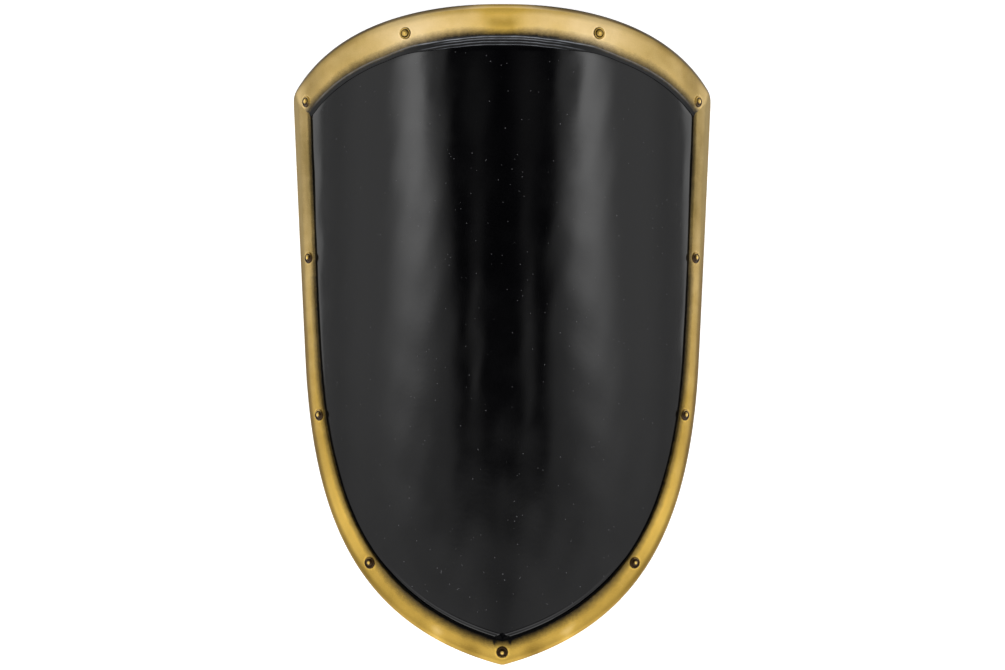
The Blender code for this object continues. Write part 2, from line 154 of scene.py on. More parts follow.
def hump(value, middle, reach):
    """1 at the middle, eased down to 0 at the reach on both sides."""
    return 1.0 - rise(np.abs(np.asarray(value, float) - middle), 0.0, reach)


def eased_through(value, rows):
    """A height led smoothly through rows of (place, height), and even before and after them."""
    total = rows[0][1]
    for (start, low), (end, high) in zip(rows, rows[1:]):
        total = total + (high - low) * rise(value, start, end)
    return total


def waves(along, across, seed, longest):
    """A smooth random ripple from -1 to 1, made of a few crossed waves."""
    chance = np.random.default_rng(seed)
    total = 0.0
    for octave in range(5):
        length = longest / (1.0 + octave * 0.7)
        turn = chance.uniform(0.0, math.tau)
        phase = chance.uniform(0.0, math.tau)
        total = total + np.sin(
            (along * math.cos(turn) + across * math.sin(turn)) * math.tau / length + phase
        )
    return total / 5.0


# Lines on the flat sheet

def unit(vector):
    return vector / np.linalg.norm(vector)


def cubic(points):
    """Points of a cubic curve with the given ends and handles."""
    t = np.linspace(0.0, 1.0, CURVE_STEPS + 1)[:, None]
    u = 1.0 - t
    a, b, c, d = (np.asarray(point, float) for point in points)
    return a * u ** 3 + b * 3 * u * u * t + c * 3 * u * t * t + d * t ** 3


def outline_halves():
    """The right half of the outline: the top from the centre out, and the side down to the tip."""
    apex = np.array([0.0, LENGTH / 2])
    tip = np.array([0.0, -LENGTH / 2])
    corner = np.array([CORNER_HALF_WIDTH, LENGTH / 2 - CORNER_DROP])
    slope = math.radians(SHOULDER_SLOPE)
    shoulder = np.array([-math.cos(slope), math.sin(slope)])
    top = cubic([apex, apex + [APEX_HANDLE, 0.0], corner + shoulder * SHOULDER_HANDLE, corner])
    taper = math.radians(SIDE_TAPER)
    down = np.array([-math.sin(taper), -math.cos(taper)])
    belly = corner + down * SIDE_STRAIGHT
    foot = math.radians(TIP_SLOPE)
    handle = tip + np.array([math.cos(foot), math.sin(foot)]) * TIP_HANDLE
    curve = cubic([belly, belly + down * BELLY_HANDLE, handle, tip])
    straight = corner + (belly - corner) * np.linspace(0.0, 1.0, CURVE_STEPS + 1)[:-1, None]
    return top, np.vstack([straight, curve])


def walked(path):
    """Distance along the path to each of its points."""
    steps = np.linalg.norm(np.diff(path, axis=0), axis=1)
    return np.concatenate([[0.0], np.cumsum(steps)])


def at_distance(path, distance):
    """Points of the path at distances along it."""
    marks = walked(path)
    return np.stack([np.interp(distance, marks, path[:, i]) for i in range(path.shape[1])], axis=-1)


TOP_EDGE, SIDE_EDGE = outline_halves()
TOP_LENGTH = walked(TOP_EDGE)[-1]
SIDE_LENGTH = walked(SIDE_EDGE)[-1]


def moved_in(path, distance_at):
    """The path moved towards the field, with a little to spare at both ends."""
    share = walked(path) / walked(path)[-1]
    direction = np.gradient(path, axis=0)
    direction /= np.linalg.norm(direction, axis=1)[:, None]
    inward = np.stack([direction[:, 1], -direction[:, 0]], axis=1)
    line = path + inward * np.broadcast_to(distance_at(share), share.shape)[:, None]
    head = line[0] + unit(line[0] - line[1]) * OUTER_ROUND
    tail = line[-1] + unit(line[-1] - line[-2]) * OUTER_ROUND
    return np.vstack([head, line, tail])


def meet(first, second):
    """The first path up to where the two cross, and the second from there on."""
    a, b = first[:-1, None], np.diff(first, axis=0)[:, None]
    c, d = second[None, :-1], np.diff(second, axis=0)[None]
    across = b[..., 0] * d[..., 1] - b[..., 1] * d[..., 0]
    gap = c - a
    with np.errstate(divide="ignore", invalid="ignore"):
        t = (gap[..., 0] * d[..., 1] - gap[..., 1] * d[..., 0]) / across
        u = (gap[..., 0] * b[..., 1] - gap[..., 1] * b[..., 0]) / across
    i, j = np.argwhere((t >= 0) & (t <= 1) & (u >= 0) & (u <= 1))[0]
    point = first[i] + t[i, j] * (first[i + 1] - first[i])
    return np.vstack([first[:i + 1], point]), np.vstack([point, second[j + 1:]])


def right_half(path):
    """The path's part on the right of the centre line, cut exactly on it."""
    if path[0, 0] > path[-1, 0]:
        return right_half(path[::-1])[::-1]
    i = np.argwhere((path[:-1, 0] <= 0.0) & (path[1:, 0] > 0.0))[0, 0]
    point = path[i] + (path[i + 1] - path[i]) * (-path[i, 0] / (path[i + 1, 0] - path[i, 0]))
    return np.vstack([[0.0, point[1]], path[i + 1:]])


def rounded(start, corner, end, count):
    """Points that round a corner, its first and last left out."""
    t = (np.arange(1, count) / count)[:, None]
    return start * (1 - t) ** 2 + corner * 2 * t * (1 - t) + end * t * t


def line_round(top_distance, side_distance, depth):
    """A closed line round the shield, from the top centre, at distances from the outline."""
    top, side = meet(moved_in(TOP_EDGE, top_distance), moved_in(SIDE_EDGE, side_distance))
    top, side = right_half(top), right_half(side)
    half_turn = math.radians(90.0 + SIDE_TAPER - SHOULDER_SLOPE) / 2
    back = max(CORNER_ROUND - depth * math.tan(half_turn), CLEARANCE)
    tip_back = max(TIP_ROUND - depth * math.tan(math.radians(TIP_SLOPE)), CLEARANCE)
    upper = at_distance(top, np.linspace(0.0, walked(top)[-1] - back, TOP_STATIONS + 1))
    lower = at_distance(side, np.linspace(back, walked(side)[-1] - tip_back, SIDE_STATIONS + 1))
    bend_in = rounded(upper[-1], top[-1], lower[0], CORNER_STATIONS)
    mirrored = lower[-1] * [-1.0, 1.0]
    foot = rounded(lower[-1], side[-1], mirrored, 2 * TIP_STATIONS)[:TIP_STATIONS]
    half = np.vstack([upper, bend_in, lower, foot])
    half[0, 0] = 0.0
    half[-1, 0] = 0.0
    return np.vstack([half, half[-2:0:-1] * [-1.0, 1.0]])


def both_halves(half):
    """A value for each station of the right half, repeated on the left half."""
    return np.concatenate([half, half[-2:0:-1]])


def station_shares():
    """How far along the top edge, and along the side edge, each station is."""
    top = np.concatenate([
        np.linspace(0.0, 1.0, TOP_STATIONS + 1),
        np.ones(CORNER_STATIONS - 1 + SIDE_STATIONS + 1 + TIP_STATIONS),
    ])
    side = np.concatenate([
        np.zeros(TOP_STATIONS + CORNER_STATIONS),
        np.linspace(0.0, 1.0, SIDE_STATIONS + 1),
        np.ones(TIP_STATIONS),
    ])
    corner = np.zeros(len(top))
    corner[TOP_STATIONS:TOP_STATIONS + CORNER_STATIONS + 1] = np.linspace(0.0, 1.0, CORNER_STATIONS + 1)
    corner[TOP_STATIONS + CORNER_STATIONS:] = 1.0
    return both_halves(top), both_halves(side), both_halves(corner)


TOP_SHARE, SIDE_SHARE, ON_SIDE = station_shares()
TOP_WALK = TOP_SHARE * TOP_LENGTH
SIDE_WALK = SIDE_SHARE * SIDE_LENGTH
NEAR_TIP = SIDE_WALK > 0.9

# Widths of the crown and of the stepped band inside it, along the top and down the side
CROWN_ALONG = (
    ((SHOULDER_START, CROWN_TOP), (SHOULDER_END, CROWN_SHOULDER)),
    ((0.0, CROWN_SIDE), (NARROWEST_AT, CROWN_NARROWEST), (BELLY_AT, CROWN_BELLY), (SIDE_LENGTH, CROWN_TIP)),
)
BAND_ALONG = (
    ((BAND_START, STEP_BAND_TOP), (BAND_END, STEP_BAND_SHOULDER)),
    ((0.0, SIDE_BAND),),
)


def by_station(along):
    """A width that has one rule along the top and one down the side, for each station."""
    return mix(eased_through(TOP_WALK, along[0]), eased_through(SIDE_WALK, along[1]), ON_SIDE)


CROWN = by_station(CROWN_ALONG)
BAND = by_station(BAND_ALONG)
INNER_WOBBLE = 0.0003
WOBBLE_LENGTH = 0.090


def rim_line(from_edge, crown=0.0, band=0.0, wobble=0.0):
    """A line round the rim at a distance from the outline and at shares of the rim's widths."""
    def width_on(part, length, seed):
        def width(share):
            walk = share * length
            widths = crown * eased_through(walk, CROWN_ALONG[part])
            widths = widths + band * eased_through(walk, BAND_ALONG[part])
            return from_edge + widths + wobble * waves(walk, 0.0, seed, WOBBLE_LENGTH)

        return width

    on_top, on_side = width_on(0, TOP_LENGTH, 11), width_on(1, SIDE_LENGTH, 12)
    return line_round(on_top, on_side, from_edge + crown * CROWN_SIDE)


# The bend and the lying pose

def bend(line, height):
    """Points of the flat sheet, at heights over the board's face, on the bent shield."""
    angle = line[:, 0] / FACE_RADIUS
    radius = FACE_RADIUS + height
    return np.stack([radius * np.sin(angle), line[:, 1], radius * np.cos(angle) - FACE_RADIUS], axis=1)


def lying_pose():
    """The matrix that lays the bent shield where the frame's board lies, and its pitch."""
    board = np.array([v.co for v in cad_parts["shield_board"].data.vertices])
    middle = board[np.abs(board[:, 0]) < CLEARANCE]
    top = max(middle[middle[:, 1] > 0], key=lambda p: p[2])
    tip = max(middle[middle[:, 1] < 0], key=lambda p: p[2])
    pitch = math.atan2(top[2] - tip[2], top[1] - tip[1])
    turn = Matrix.Rotation(pitch, 4, "X")
    apex = turn @ Vector((0.0, LENGTH / 2 - BOARD_INSET, 0.0))
    return Matrix.Translation((0.0, top[1] - apex.y, top[2] - apex.z)) @ turn, pitch


POSE, PITCH = lying_pose()
POSE_ARRAY = np.array(POSE)


def laid(points):
    """Points of the bent shield, as it lies."""
    return points @ POSE_ARRAY[:3, :3].T + POSE_ARRAY[:3, 3]


def place_of(node):
    """Where a node's middle lies on the flat sheet."""
    low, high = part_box(node)
    point = POSE.inverted() @ ((low + high) / 2)
    return np.array([FACE_RADIUS * math.atan2(point.x, point.z + FACE_RADIUS), point.y])


def facing_at(place):
    """The direction out of the bent face at a place of the flat sheet, as the shield lies."""
    angle = place[0] / FACE_RADIUS
    return POSE_ARRAY[:3, :3] @ np.array([math.sin(angle), 0.0, math.cos(angle)])


# Meshes

def new_object(name, mesh):
    made = bpy.data.objects.new(name, mesh)
    bpy.context.scene.collection.objects.link(made)
    return made


def mesh_piece(name, points, faces, finish, attributes=None, sharp=70.0):
    """A smooth-shaded object of points and faces, its faces turned outwards."""
    mesh = bpy.data.meshes.new(name)
    mesh.from_pydata(points, [], faces)
    corners = points[np.array([face[:3] for face in faces])]
    volume = np.einsum("ij,ij->i", corners[:, 0], np.cross(corners[:, 1], corners[:, 2])).sum()
    if volume < 0.0:
        mesh.flip_normals()
    for label, values in (attributes or {}).items():
        layer = mesh.attributes.new(label, "FLOAT", "POINT")
        layer.data.foreach_set("value", np.asarray(values, np.float32))
    mesh.shade_smooth()
    mesh.set_sharp_from_angle(angle=math.radians(sharp))
    mesh.materials.append(finish)
    return new_object(name, mesh)


def tube_faces(rings, count, closed):
    """Quads between rings of so many points, the last ring joined to the first if closed."""
    faces = []
    pairs = rings if closed else rings - 1
    for ring in range(pairs):
        a, b = ring * count, (ring + 1) % rings * count
        for i in range(count):
            k = (i + 1) % count
            faces.append((a + i, a + k, b + k, b + i))
    return faces


def rides(obj, slot, *nodes):
    """Says which body a piece rides on and the solids that it stands for. The slot is not used."""
    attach(obj, "root")
    if nodes:
        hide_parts(*nodes)
    return obj


# Materials

GOLD_OLIVE = "8A784A"
GOLD_PALE = "EED3A0"
GOLD_OCHRE = "7A5F1A"
GOLD_YELLOW = "E9C05A"
WASH_AND_SHADE_BROWN = "30200A"
RIDGE_HIGHLIGHT_GREY = "74777C"
BLACK_SKIN = "030304"
DUST = "4A4A4C"
FOAM_DARK = "1B1B1D"
FOAM_PALE = "2C2C2E"
HIDE_DARK = "2E1B10"
HIDE_PALE = "5E3A22"
HIDE_EDGE = "150C07"
THREAD_DARK = "8A7650"
THREAD_PALE = "C9B689"
STEEL_DULL = "8C8780"
STEEL_BRIGHT = "C9C6C0"
PAINT_LAYERS = ("gilt", "light", "rich", "wash_and_shade", "painted_ridge_highlight")


def colour(hex_code):
    """An sRGB hex colour as a linear one."""
    parts = [int(hex_code[i:i + 2], 16) / 255.0 for i in (0, 2, 4)]
    return (*[c / 12.92 if c <= 0.04045 else ((c + 0.055) / 1.055) ** 2.4 for c in parts], 1.0)


def connect(tree, node, inputs):
    """Puts values or links on a node's inputs."""
    for key, value in inputs.items():
        if isinstance(value, bpy.types.NodeSocket):
            tree.links.new(value, node.inputs[key])
        else:
            node.inputs[key].default_value = value


def add_node(tree, kind, inputs=None, out=0, **settings):
    """Adds a node with its settings, values and links. It gives one of the node's outputs, or the
    node itself where out is None."""
    node = tree.nodes.new(kind)
    for name, value in settings.items():
        setattr(node, name, value)
    connect(tree, node, inputs or {})
    return node if out is None else node.outputs[out]


def new_material(name):
    """A material, its tree, its shader, and each point's place in the object's own coordinates."""
    made = bpy.data.materials.new(name)
    made.use_nodes = True
    tree = made.node_tree
    return made, tree, tree.nodes["Principled BSDF"], add_node(tree, "ShaderNodeTexCoord", out="Object")


def gilt_latex():
    """Antique gold airbrushed on a moulded latex skin. It gives a satin, slightly metallic gold that
    runs from olive to pale and yellow, and fades in fine droplets to the black latex below. Painted
    highlights and painted shade lie in the gold, brown wash and painted shade on its edge and studs,
    and grey painted highlights on the moulded lines of the black band."""
    made, tree, shader, place = new_material("gilt_latex")
    layer = {
        name: add_node(tree, "ShaderNodeAttribute", out="Fac", attribute_name=name)
        for name in (*PAINT_LAYERS, "wash_and_shade_strength", "hollow_wash_and_shade", "polish")
    }
    droplets, spray, clouds, pores = (
        add_node(tree, "ShaderNodeTexNoise", {"Vector": place, "Scale": 1 / size, "Detail": detail})
        for size, detail in ((1.2 * MM, 3.0), (6.0 * MM, 2.0), (26.0 * MM, 4.0), (2.4 * MM, 3.0))
    )
    for name, grain, amount in (
        ("gilt", droplets, 0.40),
        ("gilt", spray, 0.25),
        ("light", droplets, 0.30),
        ("light", clouds, -0.30),
        ("rich", clouds, 0.45),
    ):
        uneven = add_node(tree, "ShaderNodeMath", {0: grain, 1: 0.5}, operation="SUBTRACT")
        terms = {0: uneven, 1: amount, 2: layer[name]}
        layer[name] = add_node(tree, "ShaderNodeMath", terms, operation="MULTIPLY_ADD")
    painted = add_node(tree, "ShaderNodeMath", {0: layer["gilt"], 1: 1.5}, operation="POWER", use_clamp=True)
    poor, rich = (
        {0: layer["light"], 6: colour(dark), 7: colour(bright)}
        for dark, bright in ((GOLD_OLIVE, GOLD_PALE), (GOLD_OCHRE, GOLD_YELLOW))
    )
    poor = add_node(tree, "ShaderNodeMix", poor, 2, data_type="RGBA")
    rich = add_node(tree, "ShaderNodeMix", rich, 2, data_type="RGBA")
    gold = add_node(tree, "ShaderNodeMix", {0: layer["rich"], 6: poor, 7: rich}, 2, data_type="RGBA")
    # brown wash and painted shade: in the studs' hollows, to one side of them, and on the rim's outer edge
    terms = {0: layer["hollow_wash_and_shade"], 1: layer["wash_and_shade_strength"], 2: layer["wash_and_shade"]}
    wash_and_shade = add_node(tree, "ShaderNodeMath", terms, operation="MULTIPLY_ADD")
    dappled = add_node(tree, "ShaderNodeMath", {0: droplets, 1: 0.5, 2: 0.72}, operation="MULTIPLY_ADD")
    wash_and_shade_amount = add_node(tree, "ShaderNodeMath", {0: wash_and_shade, 1: dappled}, operation="MULTIPLY")
    gold = add_node(tree, "ShaderNodeMix", {0: wash_and_shade_amount, 6: gold, 7: colour(WASH_AND_SHADE_BROWN)}, 2, data_type="RGBA")
    # grey painted highlights on the moulded lines of the black band
    terms = {0: layer["painted_ridge_highlight"], 6: colour(BLACK_SKIN), 7: colour(RIDGE_HIGHLIGHT_GREY)}
    bare = add_node(tree, "ShaderNodeMix", terms, 2, data_type="RGBA")
    gloss = add_node(tree, "ShaderNodeMapRange", {"Value": painted, "To Min": 0.28, "To Max": 0.40})
    relief = {"Height": pores, "Strength": 0.35, "Distance": 0.25 * MM}
    connect(tree, shader, {
        "Base Color": add_node(tree, "ShaderNodeMix", {0: painted, 6: bare, 7: gold}, 2, data_type="RGBA"),
        "Roughness": add_node(
            tree, "ShaderNodeMath", {0: layer["polish"], 1: -0.16, 2: gloss}, operation="MULTIPLY_ADD"
        ),
        "Metallic": add_node(tree, "ShaderNodeMath", {0: painted, 1: 0.45}, operation="MULTIPLY"),
        "Specular IOR Level": 0.22,
        "Normal": add_node(tree, "ShaderNodeBump", relief),
    })
    return made


def black_latex():
    """Black latex brushed over foam and varnished. It gives a deep, wet gloss with soft ripples,
    faint duller patches and small pits and specks of dust under the varnish."""
    made, tree, shader, place = new_material("black_latex")
    blotches, peel = (
        add_node(tree, "ShaderNodeTexNoise", {"Vector": place, "Scale": 1 / size, "Detail": detail})
        for size, detail in ((45 * MM, 3.0), (9 * MM, 2.0))
    )
    cells = add_node(tree, "ShaderNodeTexVoronoi", {"Vector": place, "Scale": 1 / (7.5 * MM)}, None)
    chosen = add_node(tree, "ShaderNodeSeparateColor", {"Color": cells.outputs["Color"]})
    chosen = add_node(tree, "ShaderNodeMath", {0: chosen, 1: 0.88}, operation="GREATER_THAN")
    dot = {0: cells.outputs["Distance"], "From Min": 0.04, "From Max": 0.11, "To Min": 1.0, "To Max": 0.0}
    dot = add_node(tree, "ShaderNodeMapRange", dot, interpolation_type="SMOOTHSTEP")
    speck = add_node(tree, "ShaderNodeMath", {0: dot, 1: chosen}, operation="MULTIPLY")
    spread = {"Value": blotches, "From Min": 0.3, "From Max": 0.7, "To Min": 0.10, "To Max": 0.15}
    gloss = add_node(tree, "ShaderNodeMapRange", spread)
    height = add_node(tree, "ShaderNodeMath", {0: speck, 1: 1.2, 2: peel}, operation="MULTIPLY_ADD")
    dusted = {0: speck, 6: colour(BLACK_SKIN), 7: colour(DUST)}
    dulled = {0: speck, 1: 0.3, 2: gloss}
    relief = {"Height": height, "Strength": 0.10, "Distance": 0.25 * MM}
    connect(tree, shader, {
        "Base Color": add_node(tree, "ShaderNodeMix", dusted, 2, data_type="RGBA"),
        "Roughness": add_node(tree, "ShaderNodeMath", dulled, operation="MULTIPLY_ADD"),
        "IOR": 1.5,
        "Normal": add_node(tree, "ShaderNodeBump", relief),
    })
    return made


def varnished_dust():
    """Dust and scuffs caught in the varnish. They give faint grey specks on the black."""
    made, tree, shader, _ = new_material("varnished_dust")
    connect(tree, shader, {"Base Color": colour(DUST), "Roughness": 0.6})
    return made


def foam_back():
    """The bare back of the board: black cross-linked foam with a thin, brushed latex coat. It gives a
    matt, finely pebbled charcoal."""
    made, tree, shader, place = new_material("latex_coated_foam")
    brushed = add_node(tree, "ShaderNodeMapping", {"Vector": place, "Scale": (1.0, 0.12, 1.0)})
    clouds, strokes = (
        add_node(tree, "ShaderNodeTexNoise", {"Vector": spot, "Scale": 1 / size, "Detail": detail})
        for spot, size, detail in ((place, 60 * MM, 4.0), (brushed, 5 * MM, 3.0))
    )
    pebble = add_node(tree, "ShaderNodeTexVoronoi", {"Vector": place, "Scale": 1 / (2.2 * MM)})
    shades = {0: clouds, 6: colour(FOAM_DARK), 7: colour(FOAM_PALE)}
    height = add_node(tree, "ShaderNodeMath", {0: strokes, 1: 1.6, 2: pebble}, operation="MULTIPLY_ADD")
    relief = {"Height": height, "Strength": 0.5, "Distance": 0.4 * MM}
    dulled = {"Value": strokes, "To Min": 0.50, "To Max": 0.75}
    connect(tree, shader, {
        "Base Color": add_node(tree, "ShaderNodeMix", shades, 2, data_type="RGBA"),
        "Roughness": add_node(tree, "ShaderNodeMapRange", dulled),
        "Normal": add_node(tree, "ShaderNodeBump", relief),
    })
    return made


def waxed_leather():
    """Vegetable-tanned cowhide, dyed brown and waxed. It gives a warm, grained satin with paler
    creases and dark burnished edges."""
    made, tree, shader, place = new_material("waxed_leather")
    edge = add_node(tree, "ShaderNodeAttribute", out="Fac", attribute_name="edge")
    pulled = add_node(tree, "ShaderNodeMapping", {"Vector": place, "Scale": (0.25, 1.0, 1.0)})
    clouds, creases = (
        add_node(tree, "ShaderNodeTexNoise", {"Vector": spot, "Scale": 1 / size, "Detail": detail})
        for spot, size, detail in ((place, 14 * MM, 5.0), (pulled, 3.5 * MM, 3.0))
    )
    fine = {"Vector": place, "Scale": 1 / (1.1 * MM)}
    grain = add_node(tree, "ShaderNodeTexVoronoi", fine, "Distance", feature="DISTANCE_TO_EDGE")
    pores = {"Value": grain, "From Max": 0.08, "To Min": 0.55, "To Max": 1.0}
    pores = add_node(tree, "ShaderNodeMapRange", pores)
    shades = {0: clouds, 6: colour(HIDE_DARK), 7: colour(HIDE_PALE)}
    hide = add_node(tree, "ShaderNodeMix", shades, 2, data_type="RGBA")
    pored = {0: 1.0, 6: hide, 7: pores}
    hide = add_node(tree, "ShaderNodeMix", pored, 2, data_type="RGBA", blend_type="MULTIPLY")
    burnished = {0: edge, 6: hide, 7: colour(HIDE_EDGE)}
    height = add_node(tree, "ShaderNodeMath", {0: creases, 1: 1.5, 2: pores}, operation="MULTIPLY_ADD")
    relief = {"Height": height, "Strength": 0.6, "Distance": 0.3 * MM}
    connect(tree, shader, {
        "Base Color": add_node(tree, "ShaderNodeMix", burnished, 2, data_type="RGBA"),
        "Roughness": add_node(tree, "ShaderNodeMapRange", {"Value": clouds, "To Min": 0.42, "To Max": 0.60}),
        "Normal": add_node(tree, "ShaderNodeBump", relief),
    })
    return made


def waxed_thread():
    """Waxed linen thread, twisted from strands. It gives a pale, slightly shiny cord."""
    made, tree, shader, place = new_material("waxed_linen_thread")
    strands = add_node(tree, "ShaderNodeTexNoise", {"Vector": place, "Scale": 1 / (0.8 * MM), "Detail": 2.0})
    shades = {0: strands, 6: colour(THREAD_DARK), 7: colour(THREAD_PALE)}
    shade = add_node(tree, "ShaderNodeMix", shades, 2, data_type="RGBA")
    connect(tree, shader, {"Base Color": shade, "Roughness": 0.55})
    return made


def rivet_steel():
    """Pressed steel rivet heads, tumbled and a little tarnished. It gives a soft grey metal."""
    made, tree, shader, place = new_material("tumbled_rivet_steel")
    tarnish = add_node(tree, "ShaderNodeTexNoise", {"Vector": place, "Scale": 1 / (2.5 * MM), "Detail": 4.0})
    shades = {0: tarnish, 6: colour(STEEL_DULL), 7: colour(STEEL_BRIGHT)}
    gloss = {"Value": tarnish, "To Min": 0.45, "To Max": 0.25}
    connect(tree, shader, {
        "Base Color": add_node(tree, "ShaderNodeMix", shades, 2, data_type="RGBA"),
        "Metallic": 1.0,
        "Roughness": add_node(tree, "ShaderNodeMapRange", gloss),
    })
    return made


# The rim

BAND_ROWS = 44
LINE_DRIFT = 0.0010
# Each moulded line of the stepped band: its distance in from the crown's edge, half its width and its
# rise, how pale its painted highlight is, and where along the top it dies out
STEP_LINES = (
    (0.0004, 0.0011, 0.00045, 1.00, 0.385),
    (0.0034, 0.0010, 0.00060, 0.80, 0.120),
    (0.0073, 0.0010, 0.00060, 0.65, 0.150),
    (0.0114, 0.0010, 0.00050, 0.50, 0.135),
)
# How far round the outer edge towards the back a row lies, which is where the sprayed gilt thins out
BEHIND_EDGE = 0.0015
BEHIND_ROUND = 0.003
ON_THE_BACK = 0.006
GILT_REACH = 0.0022

# The gilt's paint is laid in patches that are added up. Each patch has its strength along the edge,
# then its share across the rim, both eased through rows of (place in metres, height), and its slant.
# Along is from the middle of the top, or down the side from the corner. Across is from the outer edge.
ALL_ACROSS = ((0.0, 1.0),)
# How pale the gold is, from olive or ochre at 0 to pale or yellow at 1, with painted highlights and painted
# shade in it
GOLD_PALENESS_AND_PAINTED_LIGHT = (
    (
        (
            ((0.01, 0.82), (0.05, 0.95), (0.08, 0.95), (0.12, 0.87), (0.14, 0.87), (0.29, 0.45)),
            ALL_ACROSS,
            0.0,
        ),
        # a dark bar before the corner
        (((0.295, 0.0), (0.350, -0.30), (0.405, 0.0)), ALL_ACROSS, -0.4),
        # the brown middle of the top, darkened as painted shade
        (((0.008, -0.34), (0.036, 0.0)), ((0.016, 0.0), (0.028, 1.0), (0.040, 0.0)), 0.0),
        # painted shade on the outer edge, and a glint beside it as a painted highlight
        (
            ((0.02, -0.27), (0.06, -0.45), (0.14, -0.45), (0.20, -0.27), (0.30, -0.27), (0.34, -0.108)),
            ((0.008, 1.0), (0.017, 0.0)),
            0.0,
        ),
        (((0.01, 0.60), (0.10, 0.0)), ((0.0026, 0.0), (0.0054, 1.0), (0.0082, 0.0)), 0.0),
        # the inner half
        (((0.22, -0.06), (0.30, 0.08)), ((0.026, 0.0), (0.038, 1.0)), 0.0),
    ),
    (
        (
            ((0.12, 0.02), (0.30, 0.27), (0.40, 0.27), (0.50, 0.37), (0.54, 0.37), (0.67, 0.71),
             (0.80, 0.37), (0.85, 0.39), (0.90, 0.44), (0.97, 0.44), (1.0, 0.50)),
            ALL_ACROSS,
            0.0,
        ),
        # a painted highlight down the crown's ridge, and painted shade on its outer round
        (((0.05, 0.0), (0.12, 0.09)), ((0.017, 0.0), (0.026, 1.0), (0.035, 0.0)), 0.0),
        (
            ((0.27, -0.18), (0.33, -0.10), (0.56, -0.10), (0.70, 0.0)),
            ((0.008, 0.0), (0.014, 1.0), (0.020, 0.0)),
            0.0,
        ),
        # under the corner, light inside and dark outside
        (((0.03, 1.0), (0.08, 0.0)), ((0.014, -0.10), (0.026, 0.12)), 0.0),
        # painted shade on the outer edge
        (((0.70, -0.36), (0.84, -0.09)), ((0.008, 1.0), (0.017, 0.0)), 0.0),
        # a paler place on the way to the foot, and a darker one after it
        (((0.888, 0.0), (0.908, 0.26), (0.928, 0.0)), ((0.010, 1.0), (0.024, 0.0)), 0.3),
        (((0.938, 0.0), (0.962, -0.25), (0.986, 0.0)), ((0.012, 1.0), (0.020, 0.4)), 0.0),
    ),
)
# How yellow the gold is, against how pale
RICHNESS = (
    (
        (
            ((0.0, 1.0), (0.07, 0.50), (0.15, 0.15), (0.24, 0.55), (0.37, 0.55), (0.40, 0.40)),
            ALL_ACROSS,
            0.0,
        ),
        (
            ((0.10, 0.35), (0.14, 0.0)),
            ((0.0060, 0.0), (0.0085, 0.926), (0.0115, 0.5), (0.0160, 0.0)),
            0.0,
        ),
        # less yellow beside the top's outer edge, with the painted highlight there
        (((0.05, -0.45), (0.12, 0.0)), ((0.002, 0.0), (0.005, 1.0), (0.008, 0.0)), 0.0),
    ),
    (
        (((0.10, 0.38), (0.62, 1.04)), ALL_ACROSS, 0.0),
        (((0.15, 0.0), (0.30, 0.30)), ((0.007, 1.0), (0.016, 0.0)), 0.0),
        (((0.888, 0.0), (0.908, -0.45), (0.928, 0.0)), ((0.010, 1.0), (0.024, 0.0)), 0.3),
    ),
)
# How much brown wash and painted shade lie on the outer edge
WASH_AND_PAINTED_SHADE = (
    (
        (((0.02, 0.55), (0.09, 0.90)), ((0.0014, 1.0), (0.0030, 0.0)), 0.0),
        (
            ((0.01, 0.0), (0.10, 0.65), (0.15, 0.65), (0.22, 0.72), (0.37, 0.0)),
            ((0.0036, 1.0), (0.0076, 0.0)),
            0.0,
        ),
        (((0.15, 0.0), (0.22, 0.23), (0.37, 0.95)), ((0.0052, 1.0), (0.0092, 0.0)), 0.0),
    ),
    (
        (
            ((0.17, 0.15), (0.30, 0.50), (0.68, 0.50), (0.88, 0.075)),
            ((0.006, 1.0), (0.015, 0.0)),
            0.0,
        ),
    ),
)
# Where the gilt starts to thin out and where it ends, in metres out from the crown's inner edge
FADE_START = (
    ((0.0, 0.0108), (0.050, 0.0150), (0.090, 0.0155), (0.130, 0.0135), (0.180, 0.0120), (0.260, 0.0138),
     (0.330, 0.0110), (0.400, 0.0105)),
    ((0.0, 0.0010), (0.068, 0.0042), (0.130, 0.0035), (0.195, 0.0005), (0.280, 0.0078), (0.600, 0.0085),
     (0.656, 0.0105), (0.702, 0.0088), (0.749, 0.0095), (0.795, 0.0138), (0.842, 0.0155), (0.880, 0.0158),
     (0.904, 0.0150), (0.990, 0.0165), (1.010, 0.0125)),
)
FADE_END = (
    ((0.0, 0.0010), (0.050, 0.0012), (0.090, 0.0004), (0.130, -0.0020), (0.180, -0.0032), (0.260, -0.0034),
     (0.330, -0.0030), (0.400, -0.0020)),
    ((0.0, -0.0090), (0.068, -0.0070), (0.130, -0.0082), (0.195, -0.0110), (0.280, -0.0073),
     (0.600, -0.0060), (0.656, -0.0045), (0.702, -0.0042), (0.749, -0.0042), (0.795, -0.0040),
     (0.842, -0.0030), (0.880, -0.0010), (0.904, 0.0), (0.990, 0.0016), (1.010, -0.0008)),
)
# How far the fade's ends wander, and over what length
FADE_WANDER = 0.0010
FADE_WAVE = 0.11
# Two nicks in the gilt beside the notch at the foot
NICK_AT = 0.0108
NICK_HALF = 0.0030
NICK_DEPTH = 0.4
NICK_ACROSS = ((0.007, 1.0), (0.011, 0.0))
# The painted highlights on the moulded lines come and go along the band, and are fainter away from its
# middle
RIDGE_HIGHLIGHT_WAVE = 0.05
RIDGE_HIGHLIGHT_ALONG = ((0.12, 1.0), (0.17, 0.55))
# The crown's soft unevenness, which starts inside its outer round
UNEVEN = 0.00012
UNEVEN_WAVE = 0.07
UNEVEN_ACROSS = ((0.004, 0.0), (0.012, 1.0))
# A painted highlight, a pale halo round each stud, at distances from the stud's middle
STUD_HIGHLIGHT_HALO = ((0.0080, 0.0), (0.0090, 0.35), (0.0096, 0.35), (0.0112, 0.0))


